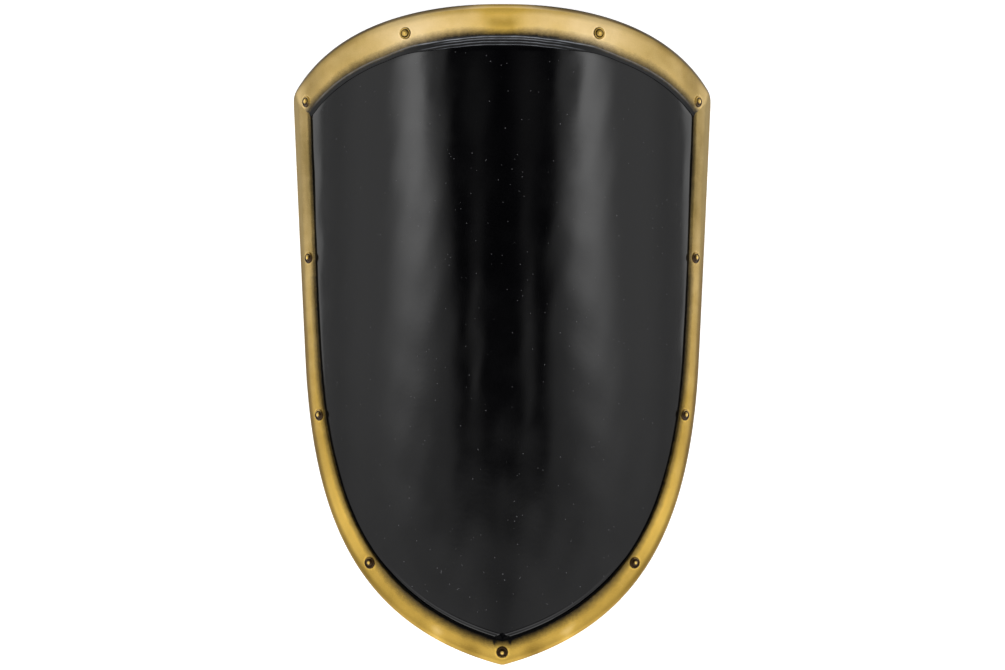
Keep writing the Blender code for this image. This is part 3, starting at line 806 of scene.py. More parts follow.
def step_ridge(inside, place, width, end):
    """How much of a moulded line there is at a distance in from the crown's edge, for each station."""
    drift = ((0.03, 0.0), (0.08, LINE_DRIFT), (0.12, LINE_DRIFT), (0.16, 0.0))
    away = np.abs(inside - place - eased_through(TOP_WALK, drift)) / width
    ridge = np.cos(np.clip(away, 0.0, 1.0) * math.pi / 2) ** 2
    return ridge * (1.0 - rise(TOP_WALK, end - 0.04, end)) * (1.0 - ON_SIDE)


def step_height(share, start):
    """Height of the stepped band at a share of its width, for each station."""
    steep = mix(1.0, 0.45, ON_SIDE)
    base = mix(start, TOE_HEIGHT, share ** steep)
    for place, width, lift, _, end in STEP_LINES:
        base = base + step_ridge(share * BAND, place, width, end) * lift * rise(share, 0.0, 0.06)
        base = base - 0.35 * lift * (1.0 - ON_SIDE) * rise(share, 0.0, 0.2)
    return base


def rim_section():
    """Rows of the rim's section, walked once round it: a line, its heights and its place across."""
    shoulder = RIM_RISE - CROWN_SAG
    seat = RIM_WALL + CLEARANCE
    back = -BOARD_THICKNESS - CLEARANCE
    back_face = back - BACK_LIP_THICKNESS
    rows = []

    def row(height, from_edge, crown=0.0, band=0.0, wobble=0.0, behind=0.0):
        line = rim_line(from_edge, crown, band, wobble)
        across = from_edge + crown * CROWN + band * BAND
        rows.append((line, np.broadcast_to(height, CROWN.shape), across, behind))

    for angle in np.radians(np.linspace(180.0, 90.0, 13)):
        row(shoulder - OUTER_DROP * (1.0 - math.sin(angle)), OUTER_ROUND * (1.0 + math.cos(angle)))
    for share in np.linspace(0.0, 1.0, 14)[1:-1]:
        height = shoulder + CROWN_SAG * math.sin(math.pi * share)
        row(height, mix(OUTER_ROUND, -INNER_ROUND, share), crown=share, wobble=INNER_WOBBLE * share)
    inside = {"crown": 1.0, "wobble": INNER_WOBBLE}
    for angle in np.radians(np.linspace(90.0, 0.0, 6)):
        lower = INNER_ROUND * (1.0 - math.sin(angle))
        row(shoulder - lower, -INNER_ROUND * (1.0 - math.cos(angle)), **inside)
    for share in np.linspace(0.0, 1.0, BAND_ROWS + 1)[1:]:
        row(step_height(share, shoulder - INNER_ROUND), 0.0, band=share, **inside)
    row(CLEARANCE / 2, 0.0, band=1.0, **inside)
    row(CLEARANCE / 2, seat)
    row(back, seat)
    row(back, BACK_LIP_WIDTH)
    for share in np.linspace(0.0, 1.0, 5):
        lift = LIP_BEVEL_HEIGHT * (1.0 - math.sin(math.pi / 2 * share))
        row(back_face + lift, BACK_LIP_WIDTH - LIP_BEVEL_WIDTH * share, behind=ON_THE_BACK)
    row(back_face, mix(BACK_ROUND, BACK_LIP_WIDTH - LIP_BEVEL_WIDTH, 0.5), behind=ON_THE_BACK)
    for share in np.linspace(0.0, 1.0, 7):
        angle = math.radians(mix(270.0, 180.0, share))
        height = back_face + BACK_ROUND * (1.0 + math.sin(angle))
        behind = mix(ON_THE_BACK, BEHIND_ROUND, share)
        row(height, BACK_ROUND * (1.0 + math.cos(angle)), behind=behind)
    row((back_face + BACK_ROUND + shoulder - OUTER_DROP) / 2, 0.0, behind=BEHIND_EDGE)
    return rows


def laid_on(patches, across):
    """The patches of one kind of paint added up on one row of the rim, for each station."""
    top, side = (
        sum(
            eased_through(walk + slant * across, along) * eased_through(across, over)
            for along, over, slant in part
        )
        for walk, part in zip((TOP_WALK, SIDE_WALK), patches)
    )
    return mix(top, side, ON_SIDE)


def interpolated(along):
    """A distance that changes straight from place to place, for each station."""
    top, side = (np.interp(walk, *zip(*rows)) for walk, rows in zip((TOP_WALK, SIDE_WALK), along))
    return mix(top, side, ON_SIDE)


def rim_paint(line, height, across, behind, studs):
    """How the paint lies on one row of the rim, for each station, in the order of PAINT_LAYERS."""
    down_wall = np.maximum(RIM_RISE - CROWN_SAG - height, 0.0) * (across > 0.8 * CROWN) * ON_SIDE
    inner = CROWN - across - down_wall
    start, end = interpolated(FADE_START), interpolated(FADE_END)
    wander = FADE_WANDER * waves(TOP_WALK + SIDE_WALK, 0.0, 31, FADE_WAVE)
    gilt = np.clip((inner - end - 0.3 * wander) / (start - end + 0.7 * wander), -1.0, 2.0)
    gilt = np.minimum(gilt, 1.5 - behind / GILT_REACH)
    nick = hump(np.abs(line[:, 0]), NICK_AT, NICK_HALF) * eased_through(inner, NICK_ACROSS)
    gilt = gilt - NICK_DEPTH * nick * NEAR_TIP
    # paleness of the gold, with its painted highlights and painted shade
    light = laid_on(GOLD_PALENESS_AND_PAINTED_LIGHT, across)
    # a painted highlight as a pale halo round each stud
    for place in studs:
        gap = np.hypot(*(line - place).T)
        light = light + eased_through(gap, STUD_HIGHLIGHT_HALO)
    # brown wash and painted shade on the outer edge
    wash_and_shade = np.clip(laid_on(WASH_AND_PAINTED_SHADE, across), 0.0, 1.0)
    # grey painted highlights on the moulded lines of the band
    painted_ridge_highlight = sum(
        pale * step_ridge(-inner, position, width, end_at)
        for position, width, _, pale, end_at in STEP_LINES
    )
    painted_ridge_highlight = painted_ridge_highlight * (0.80 + 0.45 * waves(line[:, 0], line[:, 1], 32, RIDGE_HIGHLIGHT_WAVE))
    painted_ridge_highlight = painted_ridge_highlight * eased_through(TOP_WALK, RIDGE_HIGHLIGHT_ALONG)
    return gilt, light, laid_on(RICHNESS, across), wash_and_shade, painted_ridge_highlight


def make_rim(finish, studs):
    """The foam edging: its section carried round the shield, softly uneven, with its paint."""
    rows = rim_section()
    points = []
    paint = []
    for line, height, across, behind in rows:
        soft = UNEVEN * (waves(line[:, 0], line[:, 1], 5, UNEVEN_WAVE) - 1.0)
        soft = soft * eased_through(across, UNEVEN_ACROSS)
        points.append(bend(line, height + soft * (behind == 0.0) * (height > CLEARANCE)))
        paint.append(rim_paint(line, height, across, behind, studs))
    points = np.clip(laid(np.vstack(points)), *cad_box)
    layers = {label: np.concatenate(layer) for label, layer in zip(PAINT_LAYERS, zip(*paint))}
    faces = tube_faces(len(rows), len(CROWN), True)
    rim = mesh_piece("moulded_rim", points, faces, finish, layers)
    return rides(rim, "gilt_latex", "rim")


# The board

GROOVE_WIDTH = 0.0005
GROOVE_DEPTH = 0.0012
EDGE_ROUND = 0.0080
EDGE_DROP = 0.0005
BEAD_RISE = 0.00010
NOTCH_HALF = 0.0105
NOTCH_LENGTH = 0.0098
FIELD_RINGS = 42
BACK_RINGS = 12
SPINE_HALF = 0.30
SHOULDER_RINGS = 17
RIPPLE = 0.00018
RIPPLE_WAVE = 0.16
# Where the field's edge drops and where it is beaded, along the top and down the side, and the two
# beads at distances in from its groove
DROP_ALONG = (((0.0, 0.4),), ((0.72, 0.1), (0.82, 1.0), (0.94, 1.0), (1.0, 0.65)))
BEADS_ALONG = (((0.0, 0.0),), ((0.76, 0.0), (0.82, 1.0)))
BEADS = ((0.0011, 0.0), (0.0024, 1.0), (0.0037, 0.0), (0.0049, 0.0), (0.0062, 1.0), (0.0075, 0.0))


def field_rings():
    """The edge of the field: the groove at the rim's foot, with a notch at the tip, and the rounded
    shoulder inside it, with two faint beads round the lower half."""
    beaded, drop = by_station(BEADS_ALONG), EDGE_DROP * by_station(DROP_ALONG)
    rings = []

    def ring(from_edge, height, notched, in_notch=1.0):
        """A ring that is drawn up into the notch by the share notched, and is as deep there as given."""
        line = rim_line(from_edge, 1.0, 1.0).copy()
        notch = np.clip(1.0 - np.abs(line[:, 0]) / NOTCH_HALF, 0.0, 1.0) * NEAR_TIP
        line[:, 1] += np.maximum(notch * NOTCH_LENGTH - max(from_edge, 0.0), 0.0) * notched
        rings.append((line, height * mix(1.0, in_notch, notch)))

    ring(-0.0009, 0.0, 0.0)
    ring(-0.0005, -GROOVE_DEPTH, 0.0, in_notch=0.0)
    ring(0.0002, -GROOVE_DEPTH, 1.0)
    for share in np.linspace(0.0, 1.0, SHOULDER_RINGS):
        from_edge = GROOVE_WIDTH + EDGE_ROUND * share
        beads = beaded * BEAD_RISE * eased_through(from_edge, BEADS)
        ring(from_edge, beads - drop * (1.0 - share) ** 2, 1.0 - 0.04 * share)
    return rings


def spine(line):
    """Where each point of a line runs to, on the board's centre line."""
    top, tip = line[:, 1].max(), line[:, 1].min()
    v = mix(-SPINE_HALF, SPINE_HALF, (line[:, 1] - tip) / (top - tip))
    return np.stack([np.zeros(len(line)), v], axis=1)


def ripple(flat):
    """The slight, broad unevenness of the skin."""
    return RIPPLE * (waves(flat[:, 0], flat[:, 1], 21, RIPPLE_WAVE) - 1.0)


def make_board(front_finish, back_finish):
    """The foam board: rings that run in from its edge to a spine, on its face and on its back."""
    outer = rim_line(BOARD_INSET)
    count = len(outer)
    half = count // 2
    front = [bend(outer, 0.0)]
    for line, height in field_rings():
        front.append(bend(line, height + ripple(line)))
    for share in (np.arange(1, FIELD_RINGS) / FIELD_RINGS) ** 1.15:
        flat = mix(line, spine(line), share)
        front.append(bend(flat, ripple(flat)))
    back = [
        bend(mix(outer, spine(outer), step / BACK_RINGS), -BOARD_THICKNESS)
        for step in range(BACK_RINGS)
    ]
    front_spine, back_spine = spine(line)[:half + 1], spine(outer)[:half + 1]
    spines = [bend(front_spine, ripple(front_spine)), bend(back_spine, -BOARD_THICKNESS)]
    points = front[::-1] + back + spines
    faces = tube_faces(len(front) + len(back), count, False)
    is_back = [0] * (len(front) - 1) * count + [1] * len(back) * count
    front_spine_at = (len(front) + len(back)) * count
    back_spine_at = front_spine_at + half + 1
    last = front_spine_at - count
    for i in range(count):
        k = (i + 1) % count
        a, b = min(i, count - i), min(k, count - k)
        faces.append((k, i, front_spine_at + a, front_spine_at + b))
        faces.append((last + i, last + k, back_spine_at + b, back_spine_at + a))
        is_back += [0, 1]
    board = mesh_piece("lacquered_board", laid(np.vstack(points)), faces, front_finish)
    board.data.materials.append(back_finish)
    board.data.polygons.foreach_set("material_index", is_back)
    return rides(board, "black_latex", "shield_board")


# What repeats: studs, rivets, stitches and specks

def set_on_points_tree():
    """Sets a piece on every point, turned to the point's facing and along directions."""
    tree = bpy.data.node_groups.new("set_on_points", "GeometryNodeTree")
    for name, kind in (
        ("Points", "Geometry"),
        ("Piece", "Object"),
        ("Smallest", "Float"),
        ("Largest", "Float"),
        ("Seed", "Int"),
        ("Finish", "Material"),
    ):
        tree.interface.new_socket(name, in_out="INPUT", socket_type="NodeSocket" + kind)
    tree.interface.new_socket("Pieces", in_out="OUTPUT", socket_type="NodeSocketGeometry")
    given = add_node(tree, "NodeGroupInput", out=None).outputs
    facing, along = (
        add_node(tree, "GeometryNodeInputNamedAttribute", name, "Attribute", data_type="FLOAT_VECTOR")
        for name in ({"Name": "facing"}, {"Name": "along"})
    )
    turned = add_node(tree, "FunctionNodeAlignRotationToVector", {"Vector": facing}, axis="Z")
    turn = {"Rotation": turned, "Vector": along}
    turned = add_node(tree, "FunctionNodeAlignRotationToVector", turn, axis="X", pivot_axis="Z")
    sizes = {2: given["Smallest"], 3: given["Largest"], "Seed": given["Seed"]}
    size = add_node(tree, "FunctionNodeRandomValue", sizes, 1, data_type="FLOAT")
    piece = add_node(tree, "GeometryNodeObjectInfo", {"Object": given["Piece"]}, "Geometry")
    copies = {"Points": given["Points"], "Instance": piece, "Rotation": turned, "Scale": size}
    placed = add_node(tree, "GeometryNodeInstanceOnPoints", copies)
    real = add_node(tree, "GeometryNodeRealizeInstances", {"Geometry": placed})
    made = add_node(tree, "GeometryNodeSetMaterial", {"Geometry": real, "Material": given["Finish"]})
    add_node(tree, "NodeGroupOutput", {"Pieces": made}, None)
    return tree


def set_on_points(name, tree, piece, places, finish, sizes=(1.0, 1.0), seed=1):
    """One plain mesh of copies of a piece, at places given as (point, facing, along, wash and painted
    shade).
    """
    points = bpy.data.meshes.new(name + "_places")
    points.from_pydata([place[0] for place in places], [], [])
    for label, index in (("facing", 1), ("along", 2)):
        layer = points.attributes.new(label, "FLOAT_VECTOR", "POINT")
        layer.data.foreach_set("vector", np.array([place[index] for place in places], np.float32).ravel())
    layer = points.attributes.new("wash_and_shade_strength", "FLOAT", "POINT")
    layer.data.foreach_set("value", [place[3] if len(place) > 3 else 0.0 for place in places])
    holder = new_object(name + "_places", points)
    modifier = holder.modifiers.new("set_on_points", "NODES")
    modifier.node_group = tree
    given = {"Piece": piece, "Smallest": sizes[0], "Largest": sizes[1], "Seed": seed, "Finish": finish}
    for item in tree.interface.items_tree:
        if item.name in given:
            modifier[item.identifier] = given[item.name]
    bpy.context.view_layer.update()
    evaluated = holder.evaluated_get(bpy.context.evaluated_depsgraph_get())
    mesh = bpy.data.meshes.new_from_object(evaluated)
    mesh.name = name
    holder.modifiers.remove(modifier)
    bpy.data.objects.remove(holder)
    bpy.data.objects.remove(piece)
    return new_object(name, mesh)


def turned_piece(name, profile, sides, attributes=None):
    """A turned piece about the Z axis, from a profile of (radius, height) in millimetres that ends on
    the axis."""
    rings = [(radius * MM, height * MM) for radius, height in profile[:-1]]
    angles = np.linspace(0.0, math.tau, sides, endpoint=False)
    circle = np.stack([np.cos(angles), np.sin(angles)], axis=1)
    points = [np.column_stack([radius * circle, np.full(sides, height)]) for radius, height in rings]
    points += [[[0.0, 0.0, rings[0][1]]], [[0.0, 0.0, profile[-1][1] * MM]]]
    faces = tube_faces(len(rings), sides, False)
    bottom = len(rings) * sides
    last = bottom - sides
    for i in range(sides):
        k = (i + 1) % sides
        faces.append((k, i, bottom))
        faces.append((last + i, last + k, bottom + 1))
    layers = {
        label: np.concatenate([np.repeat(values[:-1], sides), [values[0], values[-1]]])
        for label, values in (attributes or {}).items()
    }
    return mesh_piece(name, np.vstack(points), faces, bpy.data.materials.new(name), layers)


# A stud's turned section in millimetres up to its dome, and how much brown wash and painted shade lie in it
STUD_PROFILE = (
    (8.80, -0.60, 1.0), (8.80, 0.10, 1.0), (8.70, 0.60, 1.0), (8.45, 1.10, 0.9), (8.00, 1.55, 0.55),
    (7.50, 1.82, 0.20), (7.05, 1.88, 0.05), (6.65, 1.78, 0.20), (6.25, 1.50, 0.8), (5.85, 1.12, 1.0),
    (5.50, 0.92, 1.0), (5.15, 0.92, 1.0), (4.90, 1.15, 0.9),
)
STUD_DOME_RADIUS = 4.80
STUD_DOME_FOOT = 1.20
STUD_DOME_PEAK = 3.60
STUD_RING_INSIDE = 6.5
STUD_SIDES = 40
DOME_RINGS = 8
# The dome's painted highlight at its peak, and the wash and painted shade on the stud, by distance from its
# middle
STUD_PAINTED_HIGHLIGHT = ((1.0, 0.90), (2.6, 0.55))
STUD_WASH_AND_SHADE = ((1.9, 0.0), (4.2, 0.97), (6.1, 0.97), (7.0, 0.679), (7.9, 0.97), (8.2, 0.97), (8.75, 0.0))
# How strongly each kind of head is darkened by wash and painted shade, and its shaded side on the left half
STUD_WASH_AND_SHADE_KINDS = {
    "top": (0.25, (0.94, -0.34, 0.0)),
    "corner": (1.1, (-0.71, -0.71, 0.0)),
    "upper": (1.8, (0.30, -0.95, 0.0)),
    "middle": (2.2, (0.30, -0.95, 0.0)),
    "lower": (6.0, (0.30, -0.95, 0.0)),
    "tip": (6.0, (0.0, 1.0, 0.0)),
}


def stud_profile():
    """A stud's turned section in millimetres, with how much brown wash and painted shade lie in it."""
    rows = list(STUD_PROFILE)
    for step in range(1, DOME_RINGS + 1):
        angle = math.pi / 2 * step / DOME_RINGS
        height = mix(STUD_DOME_FOOT, STUD_DOME_PEAK, math.sin(angle))
        radius = STUD_DOME_RADIUS * math.cos(angle)
        rows.append((radius, height, 0.65 * (1.0 - step / DOME_RINGS) ** 2))
    return np.array(rows)


def surface_place(surface, place):
    """The point of the fine rim over a place of the flat sheet, and the direction out of the face."""
    facing = facing_at(place)
    start = laid(bend(place[None], 0.0))[0] + facing * 2 * RIM_RISE
    hit = surface.ray_cast(Vector(start), Vector(-facing))[0]
    return np.array(hit), facing


def make_studs(tree, finish, surface, names, places):
    """The moulded studs, with brown wash and painted shade, the shade darker on one side of each."""
    radius, height, wash_and_shade = stud_profile().T
    layers = {
        "gilt": np.full(len(radius), 2.0),
        # a painted highlight that pales the dome to its peak
        "light": eased_through(radius, STUD_PAINTED_HIGHLIGHT),
        "rich": np.full(len(radius), 0.85),
        "wash_and_shade": wash_and_shade,
        "hollow_wash_and_shade": eased_through(radius, STUD_WASH_AND_SHADE),
        "polish": np.ones(len(radius)),
    }
    head = turned_piece("stud_head", list(zip(radius, height)), STUD_SIDES, layers)
    # the wash and the painted shade are darker on one side of each stud, mirrored on the right half
    for label, outside, inside in (("wash_and_shade", 0.15, 0.80), ("hollow_wash_and_shade", 0.15, 0.25)):
        for vertex, item in zip(head.data.vertices, head.data.attributes[label].data):
            turn = math.atan2(vertex.co.y, vertex.co.x)
            least = outside if vertex.co.xy.length > STUD_RING_INSIDE * MM else inside
            item.value *= min(max(0.75 + 0.70 * math.cos(turn), least), 1.0)
    seats = []
    for name, place in zip(names, places):
        point, facing = surface_place(surface, place)
        wash_and_shade_amount, shaded_side = STUD_WASH_AND_SHADE_KINDS[name.split("_")[2]]
        mirror = -1.0 if name.endswith("_right") else 1.0
        seats.append((point, facing, (shaded_side[0] * mirror, shaded_side[1], 0.0), wash_and_shade_amount))
    studs = set_on_points("rim_studs", tree, head, seats, finish, (0.98, 1.02), 4)
    return rides(studs, "gilt_latex", *names)


SPECK_COUNT = 200
SPECK_PROFILE = ((0.9, -0.1), (0.65, 0.10), (0.0, 0.22))
SPECK_CLEAR_OF_EDGE = 0.065
SPECK_SPREAD = 0.16
VARNISH_DEPTH = 0.0002
SCRATCH_PROFILE = ((1.0, -0.1), (0.6, 0.06), (0.0, 0.09))
SCRATCH_LENGTHENED = 3.0
SCRATCH_NARROWED = 0.45
# Light scratches in the gloss: where the view shows them, in pixels, and their slant
SCRATCHES = (
    (456, 549, 20), (462, 565, -30), (458, 589, 60), (427, 591, -50), (478, 611, 70), (413, 59, 75),
    (421, 57, 60), (416, 63, 80), (441, 572, 10), (520, 578, 40), (547, 604, -60), (571, 541, 25),
    (602, 566, -15), (486, 160, 40),
)


def seen_at(x, y):
    """The place of the flat sheet that the camera sees at a pixel."""
    aside = (x - SHIELD_CENTRE_X) * METRES_PER_PIXEL
    angle = math.asin(aside / FACE_RADIUS)
    depth = 1.0 + (RIM_RISE + FACE_RADIUS * (1.0 - math.cos(angle))) / CAMERA_DISTANCE
    angle = math.asin(aside * depth / FACE_RADIUS)
    return np.array([FACE_RADIUS * angle, (SHIELD_CENTRE_Y - y) * METRES_PER_PIXEL * depth])


def in_varnish(place, turn):
    """A place just under the varnish, its facing, and the direction that a mark there runs in."""
    spot = laid(bend(place[None], -VARNISH_DEPTH))[0]
    return spot, facing_at(place), (math.sin(turn), math.cos(turn), 0.0)


def make_specks(tree, finish):
    """Specks of dust under the varnish of the field, thicker along its middle."""
    chance = np.random.default_rng(8)
    nib = turned_piece("speck", SPECK_PROFILE, 8)
    places = []
    outline = rim_line(0.0)
    outline = outline[:len(outline) // 2 + 1]
    while len(places) < SPECK_COUNT:
        s, height = chance.uniform(-0.28, 0.28), chance.uniform(-0.42, 0.40)
        inset = np.interp(-height, -outline[:, 1], outline[:, 0]) - abs(s)
        if inset < SPECK_CLEAR_OF_EDGE:
            continue
        if chance.uniform() > 0.25 + 0.75 * math.exp(-(s / SPECK_SPREAD) ** 2):
            continue
        places.append(in_varnish(np.array([s, height]), chance.uniform(-0.4, 0.4)))
    specks = set_on_points("dust_specks", tree, nib, places, finish, (0.35, 1.0), 9)
    return rides(specks, "black_latex")


def make_scratches(tree, finish):
    """Short scratches in the varnish of the field."""
    nib = turned_piece("scratch", SCRATCH_PROFILE, 8)
    nib.data.transform(Matrix.Diagonal((SCRATCH_LENGTHENED, SCRATCH_NARROWED, 1.0, 1.0)))
    places = [in_varnish(seen_at(x, y), math.radians(slant)) for x, y, slant in SCRATCHES]
    scratches = set_on_points("varnish_scratches", tree, nib, places, finish, (0.6, 1.0), 3)
    return rides(scratches, "black_latex")


# The strap and the grip

LOOP_STATIONS = 120
BAR_STEPS = 8
ROLL_SIDES = 32
STITCH_PITCH = 0.0052
STITCH_INSET = 0.0045
STITCH_PROUD = 0.0001
STITCH_ROOT = 0.002
STITCH_SIZE = (3.9 * MM, 0.9 * MM, 0.7 * MM)
# A rivet head's turned section in millimetres
RIVET_PROFILE = (
    (5.45, -0.2), (5.45, 0.35), (5.2, 0.6), (4.7, 0.72), (4.5, 0.8), (4.2, 1.15), (3.5, 1.6), (2.5, 1.95),
    (1.3, 2.14), (0.0, 2.2),
)
RIVET_SIDES = 28


def loop_path(span, depth):
    """The line of a strap behind the board, as (distance along, depth behind the back face)."""
    half = span / 2
    angle = np.linspace(0.0, math.pi, LOOP_STATIONS + 1)[1:-1]
    lift = depth * np.sin(angle) ** LOOP_FULLNESS
    y = np.concatenate([[-half - FOOT_LENGTH, -half], -half * np.cos(angle), [half, half + FOOT_LENGTH]])
    path = np.stack([y, np.concatenate([[0.0, 0.0], lift, [0.0, 0.0]])], axis=1)
    path = at_distance(path, np.linspace(0.0, walked(path)[-1], LOOP_STATIONS + 1))
    eased = path.copy()
    eased[1:-1] = (path[:-2] + 2 * path[1:-1] + path[2:]) / 4
    return eased


def strap_frame(offset):
    """The middle of a strap's place on the board's back, and the directions across and behind it."""
    angle = offset / FACE_RADIUS
    behind = -np.array([math.sin(angle), 0.0, math.cos(angle)])
    across = np.array([math.cos(angle), 0.0, -math.sin(angle)])
    place = bend(np.array([[offset, ARM_LINE]]), -BOARD_THICKNESS)[0]
    return place, across, behind


def hollow(sideways):
    """How far the bent back stands off a flat strap that touches it along its middle."""
    radius = FACE_RADIUS - BOARD_THICKNESS
    return radius - np.sqrt(radius * radius - sideways * sideways)


def loop_points(offset, path, section_at):
    """Points of a strap, ring by ring, in the lying frame."""
    place, across, behind = strap_frame(offset)
    upright = np.array([0.0, 1.0, 0.0])
    deepest = path[:, 1].max()
    direction = np.gradient(path, axis=0)
    direction /= np.linalg.norm(direction, axis=1)[:, None]
    normal = np.stack([-direction[:, 1], direction[:, 0]], axis=1)
    rings = []
    for (y, depth), out_of in zip(path, normal):
        share = float(rise(depth, 0.0, deepest * FOOT_BLEND))
        sideways, out = section_at(share).T
        lie = hollow(sideways) * (1.0 - share)
        here_y = y + out_of[0] * out
        here_out = depth + CLEARANCE + out_of[1] * out + lie
        ring = place + np.outer(sideways, across) + np.outer(here_y, upright) + np.outer(here_out, behind)
        rings.append(laid(ring))
    return rings


def flat_bar(share):
    """The strap's section: flat leather with rounded edges."""
    edge = STRAP_THICKNESS / 2
    reach = STRAP_WIDTH / 2 - edge
    points = []
    for side in (1.0, -1.0):
        for angle in np.radians(np.linspace(-90.0, 90.0, BAR_STEPS + 1)):
            points.append((side * (reach + edge * math.cos(angle)), edge * (1.0 + side * math.sin(angle))))
        for x in np.linspace(reach, -reach, BAR_STEPS + 1)[1:-1]:
            points.append((side * x, edge * (1.0 + side)))
    return np.array(points)


def rolled_bar(share):
    """The grip's section: flat at its feet, and rolled round in the hand."""
    width = mix(GRIP_END_WIDTH, GRIP_ROLL_WIDTH, share)
    thickness = mix(GRIP_END_THICKNESS, GRIP_ROLL_THICKNESS, share)
    square = mix(GRIP_END_SQUARENESS, 1.0, share)
    angle = np.linspace(0.0, math.tau, ROLL_SIDES, endpoint=False)
    x = np.copysign(np.abs(np.cos(angle)) ** square, np.cos(angle)) * width / 2
    y = np.copysign(np.abs(np.sin(angle)) ** square, np.sin(angle)) * thickness / 2
    return np.stack([x, y + thickness / 2], axis=1)


def make_loop(name, node, offset, path, section_at, finish):
    """A strap or grip as one closed leather piece."""
    rings = loop_points(offset, path, section_at)
    count = len(rings[0])
    points = np.vstack(rings)
    faces = tube_faces(len(rings), count, False)
    faces.append(tuple(range(count)))
    faces.append(tuple(range(len(points) - 1, len(points) - count - 1, -1)))
    width = section_at(0.0)[:, 0]
    edge = rise(np.abs(width) / np.abs(width).max(), 0.93, 1.0)
    loop = mesh_piece(name, points, faces, finish, {"edge": np.tile(edge, len(rings))}, sharp=50.0)
    return rides(loop, "brown_leather", node)


def stitch_places(path, sideways):
    """Places of a row of stitches along the outer side of the forearm strap."""
    outer, inner = (
        np.vstack(loop_points(STRAP_OFFSET, path, lambda share: np.array([(sideways, height)])))
        for height in (STRAP_THICKNESS + STITCH_PROUD, STRAP_THICKNESS - STITCH_ROOT)
    )
    length = walked(outer)[-1]
    marks = np.arange(STITCH_PITCH, length - STITCH_PITCH / 2, STITCH_PITCH)
    spots = at_distance(outer, marks)
    ahead = at_distance(outer, marks + STITCH_PITCH / 4)
    under = at_distance(inner, marks * walked(inner)[-1] / length)
    places = []
    for spot, front, root in zip(spots, ahead, under):
        along = unit(front - spot)
        out = unit(spot - root)
        places.append((spot, unit(out - along * out.dot(along)), along))
    return places


def make_stitches(tree, finish, path):
    """Two rows of waxed stitches along the forearm strap."""
    stitch = bpy.data.meshes.new("stitch")
    shape = bmesh.new()
    bmesh.ops.create_uvsphere(shape, u_segments=8, v_segments=5, radius=0.5)
    bmesh.ops.scale(shape, vec=STITCH_SIZE, verts=shape.verts)
    shape.to_mesh(stitch)
    shape.free()
    stitch.shade_smooth()
    inset = STRAP_WIDTH / 2 - STITCH_INSET
    places = stitch_places(path, -inset) + stitch_places(path, inset)
    piece = new_object("stitch", stitch)
    stitches = set_on_points("strap_stitches", tree, piece, places, finish, (0.95, 1.05), 6)
    return rides(stitches, "brown_leather")


def make_rivets(tree, steel):
    """Domed rivet heads with a flange, standing where the frame has its rivets."""
    head = turned_piece("rivet_head", RIVET_PROFILE, RIVET_SIDES)
    names = sorted(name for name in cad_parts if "_rivet_" in name)
    places = []
    for name in names:
        _, _, behind = strap_frame(STRAP_OFFSET if name.startswith("forearm") else -GRIP_OFFSET)
        out = POSE_ARRAY[:3, :3] @ behind
        points = np.array([v.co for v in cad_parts[name].data.vertices])
        middle = points.mean(axis=0)
        foot = middle + out * (((points - middle) @ out).max() - RIVET_PROFILE[-1][1] * MM)
        places.append((foot, out, (0.0, 1.0, 0.0)))
    rivets = set_on_points("strap_rivets", tree, head, places, steel)
    return rides(rivets, "rivet_steel", *names)


def make_arm_fittings(tree):
    """The forearm strap and the hand grip behind the board, with their stitches and rivets."""
    leather = waxed_leather()
    path = loop_path(STRAP_SPAN, STRAP_DEPTH)
    make_loop("leather_forearm_strap", "forearm_strap", STRAP_OFFSET, path, flat_bar, leather)
    grip_path = loop_path(GRIP_SPAN, GRIP_DEPTH)
    make_loop("rolled_leather_grip", "hand_grip", -GRIP_OFFSET, grip_path, rolled_bar, leather)
    make_stitches(tree, waxed_thread(), path)
    make_rivets(tree, rivet_steel())


# Light, floor and camera

CAMERA_DISTANCE = 2.850
METRES_PER_PIXEL = 0.0014526
FRAME_WIDTH = 1005
FRAME_HEIGHT = 670
SHIELD_CENTRE_X = 502.17
SHIELD_CENTRE_Y = 334.63
SENSOR_WIDTH = 36.0

# The floor is white as far as the view reaches, and greys to its far parts, so that the bent gloss
# doesn't mirror a white horizon
FLOOR_HALF = 9.0
FLOOR_WHITE_TO = 0.80
FLOOR_GREY_FROM = 1.90
FLOOR_WHITE = "FBFBFA"
FLOOR_GREY = "A8A8A8"
FLOOR_GLOW = 0.55

KEY_STRENGTH = 1.0
KEY_ANGLE = 60.0

# Radiance of the studio round the shield
WALLS = 0.92
WALLS_LOW = 0.68
CEILING = 0.12
TABLE = 2.10
HORIZON = 0.62
STRIP = 2.4
STRIP_ANGLE = 40.2
STRIP_WIDTH = 14.0

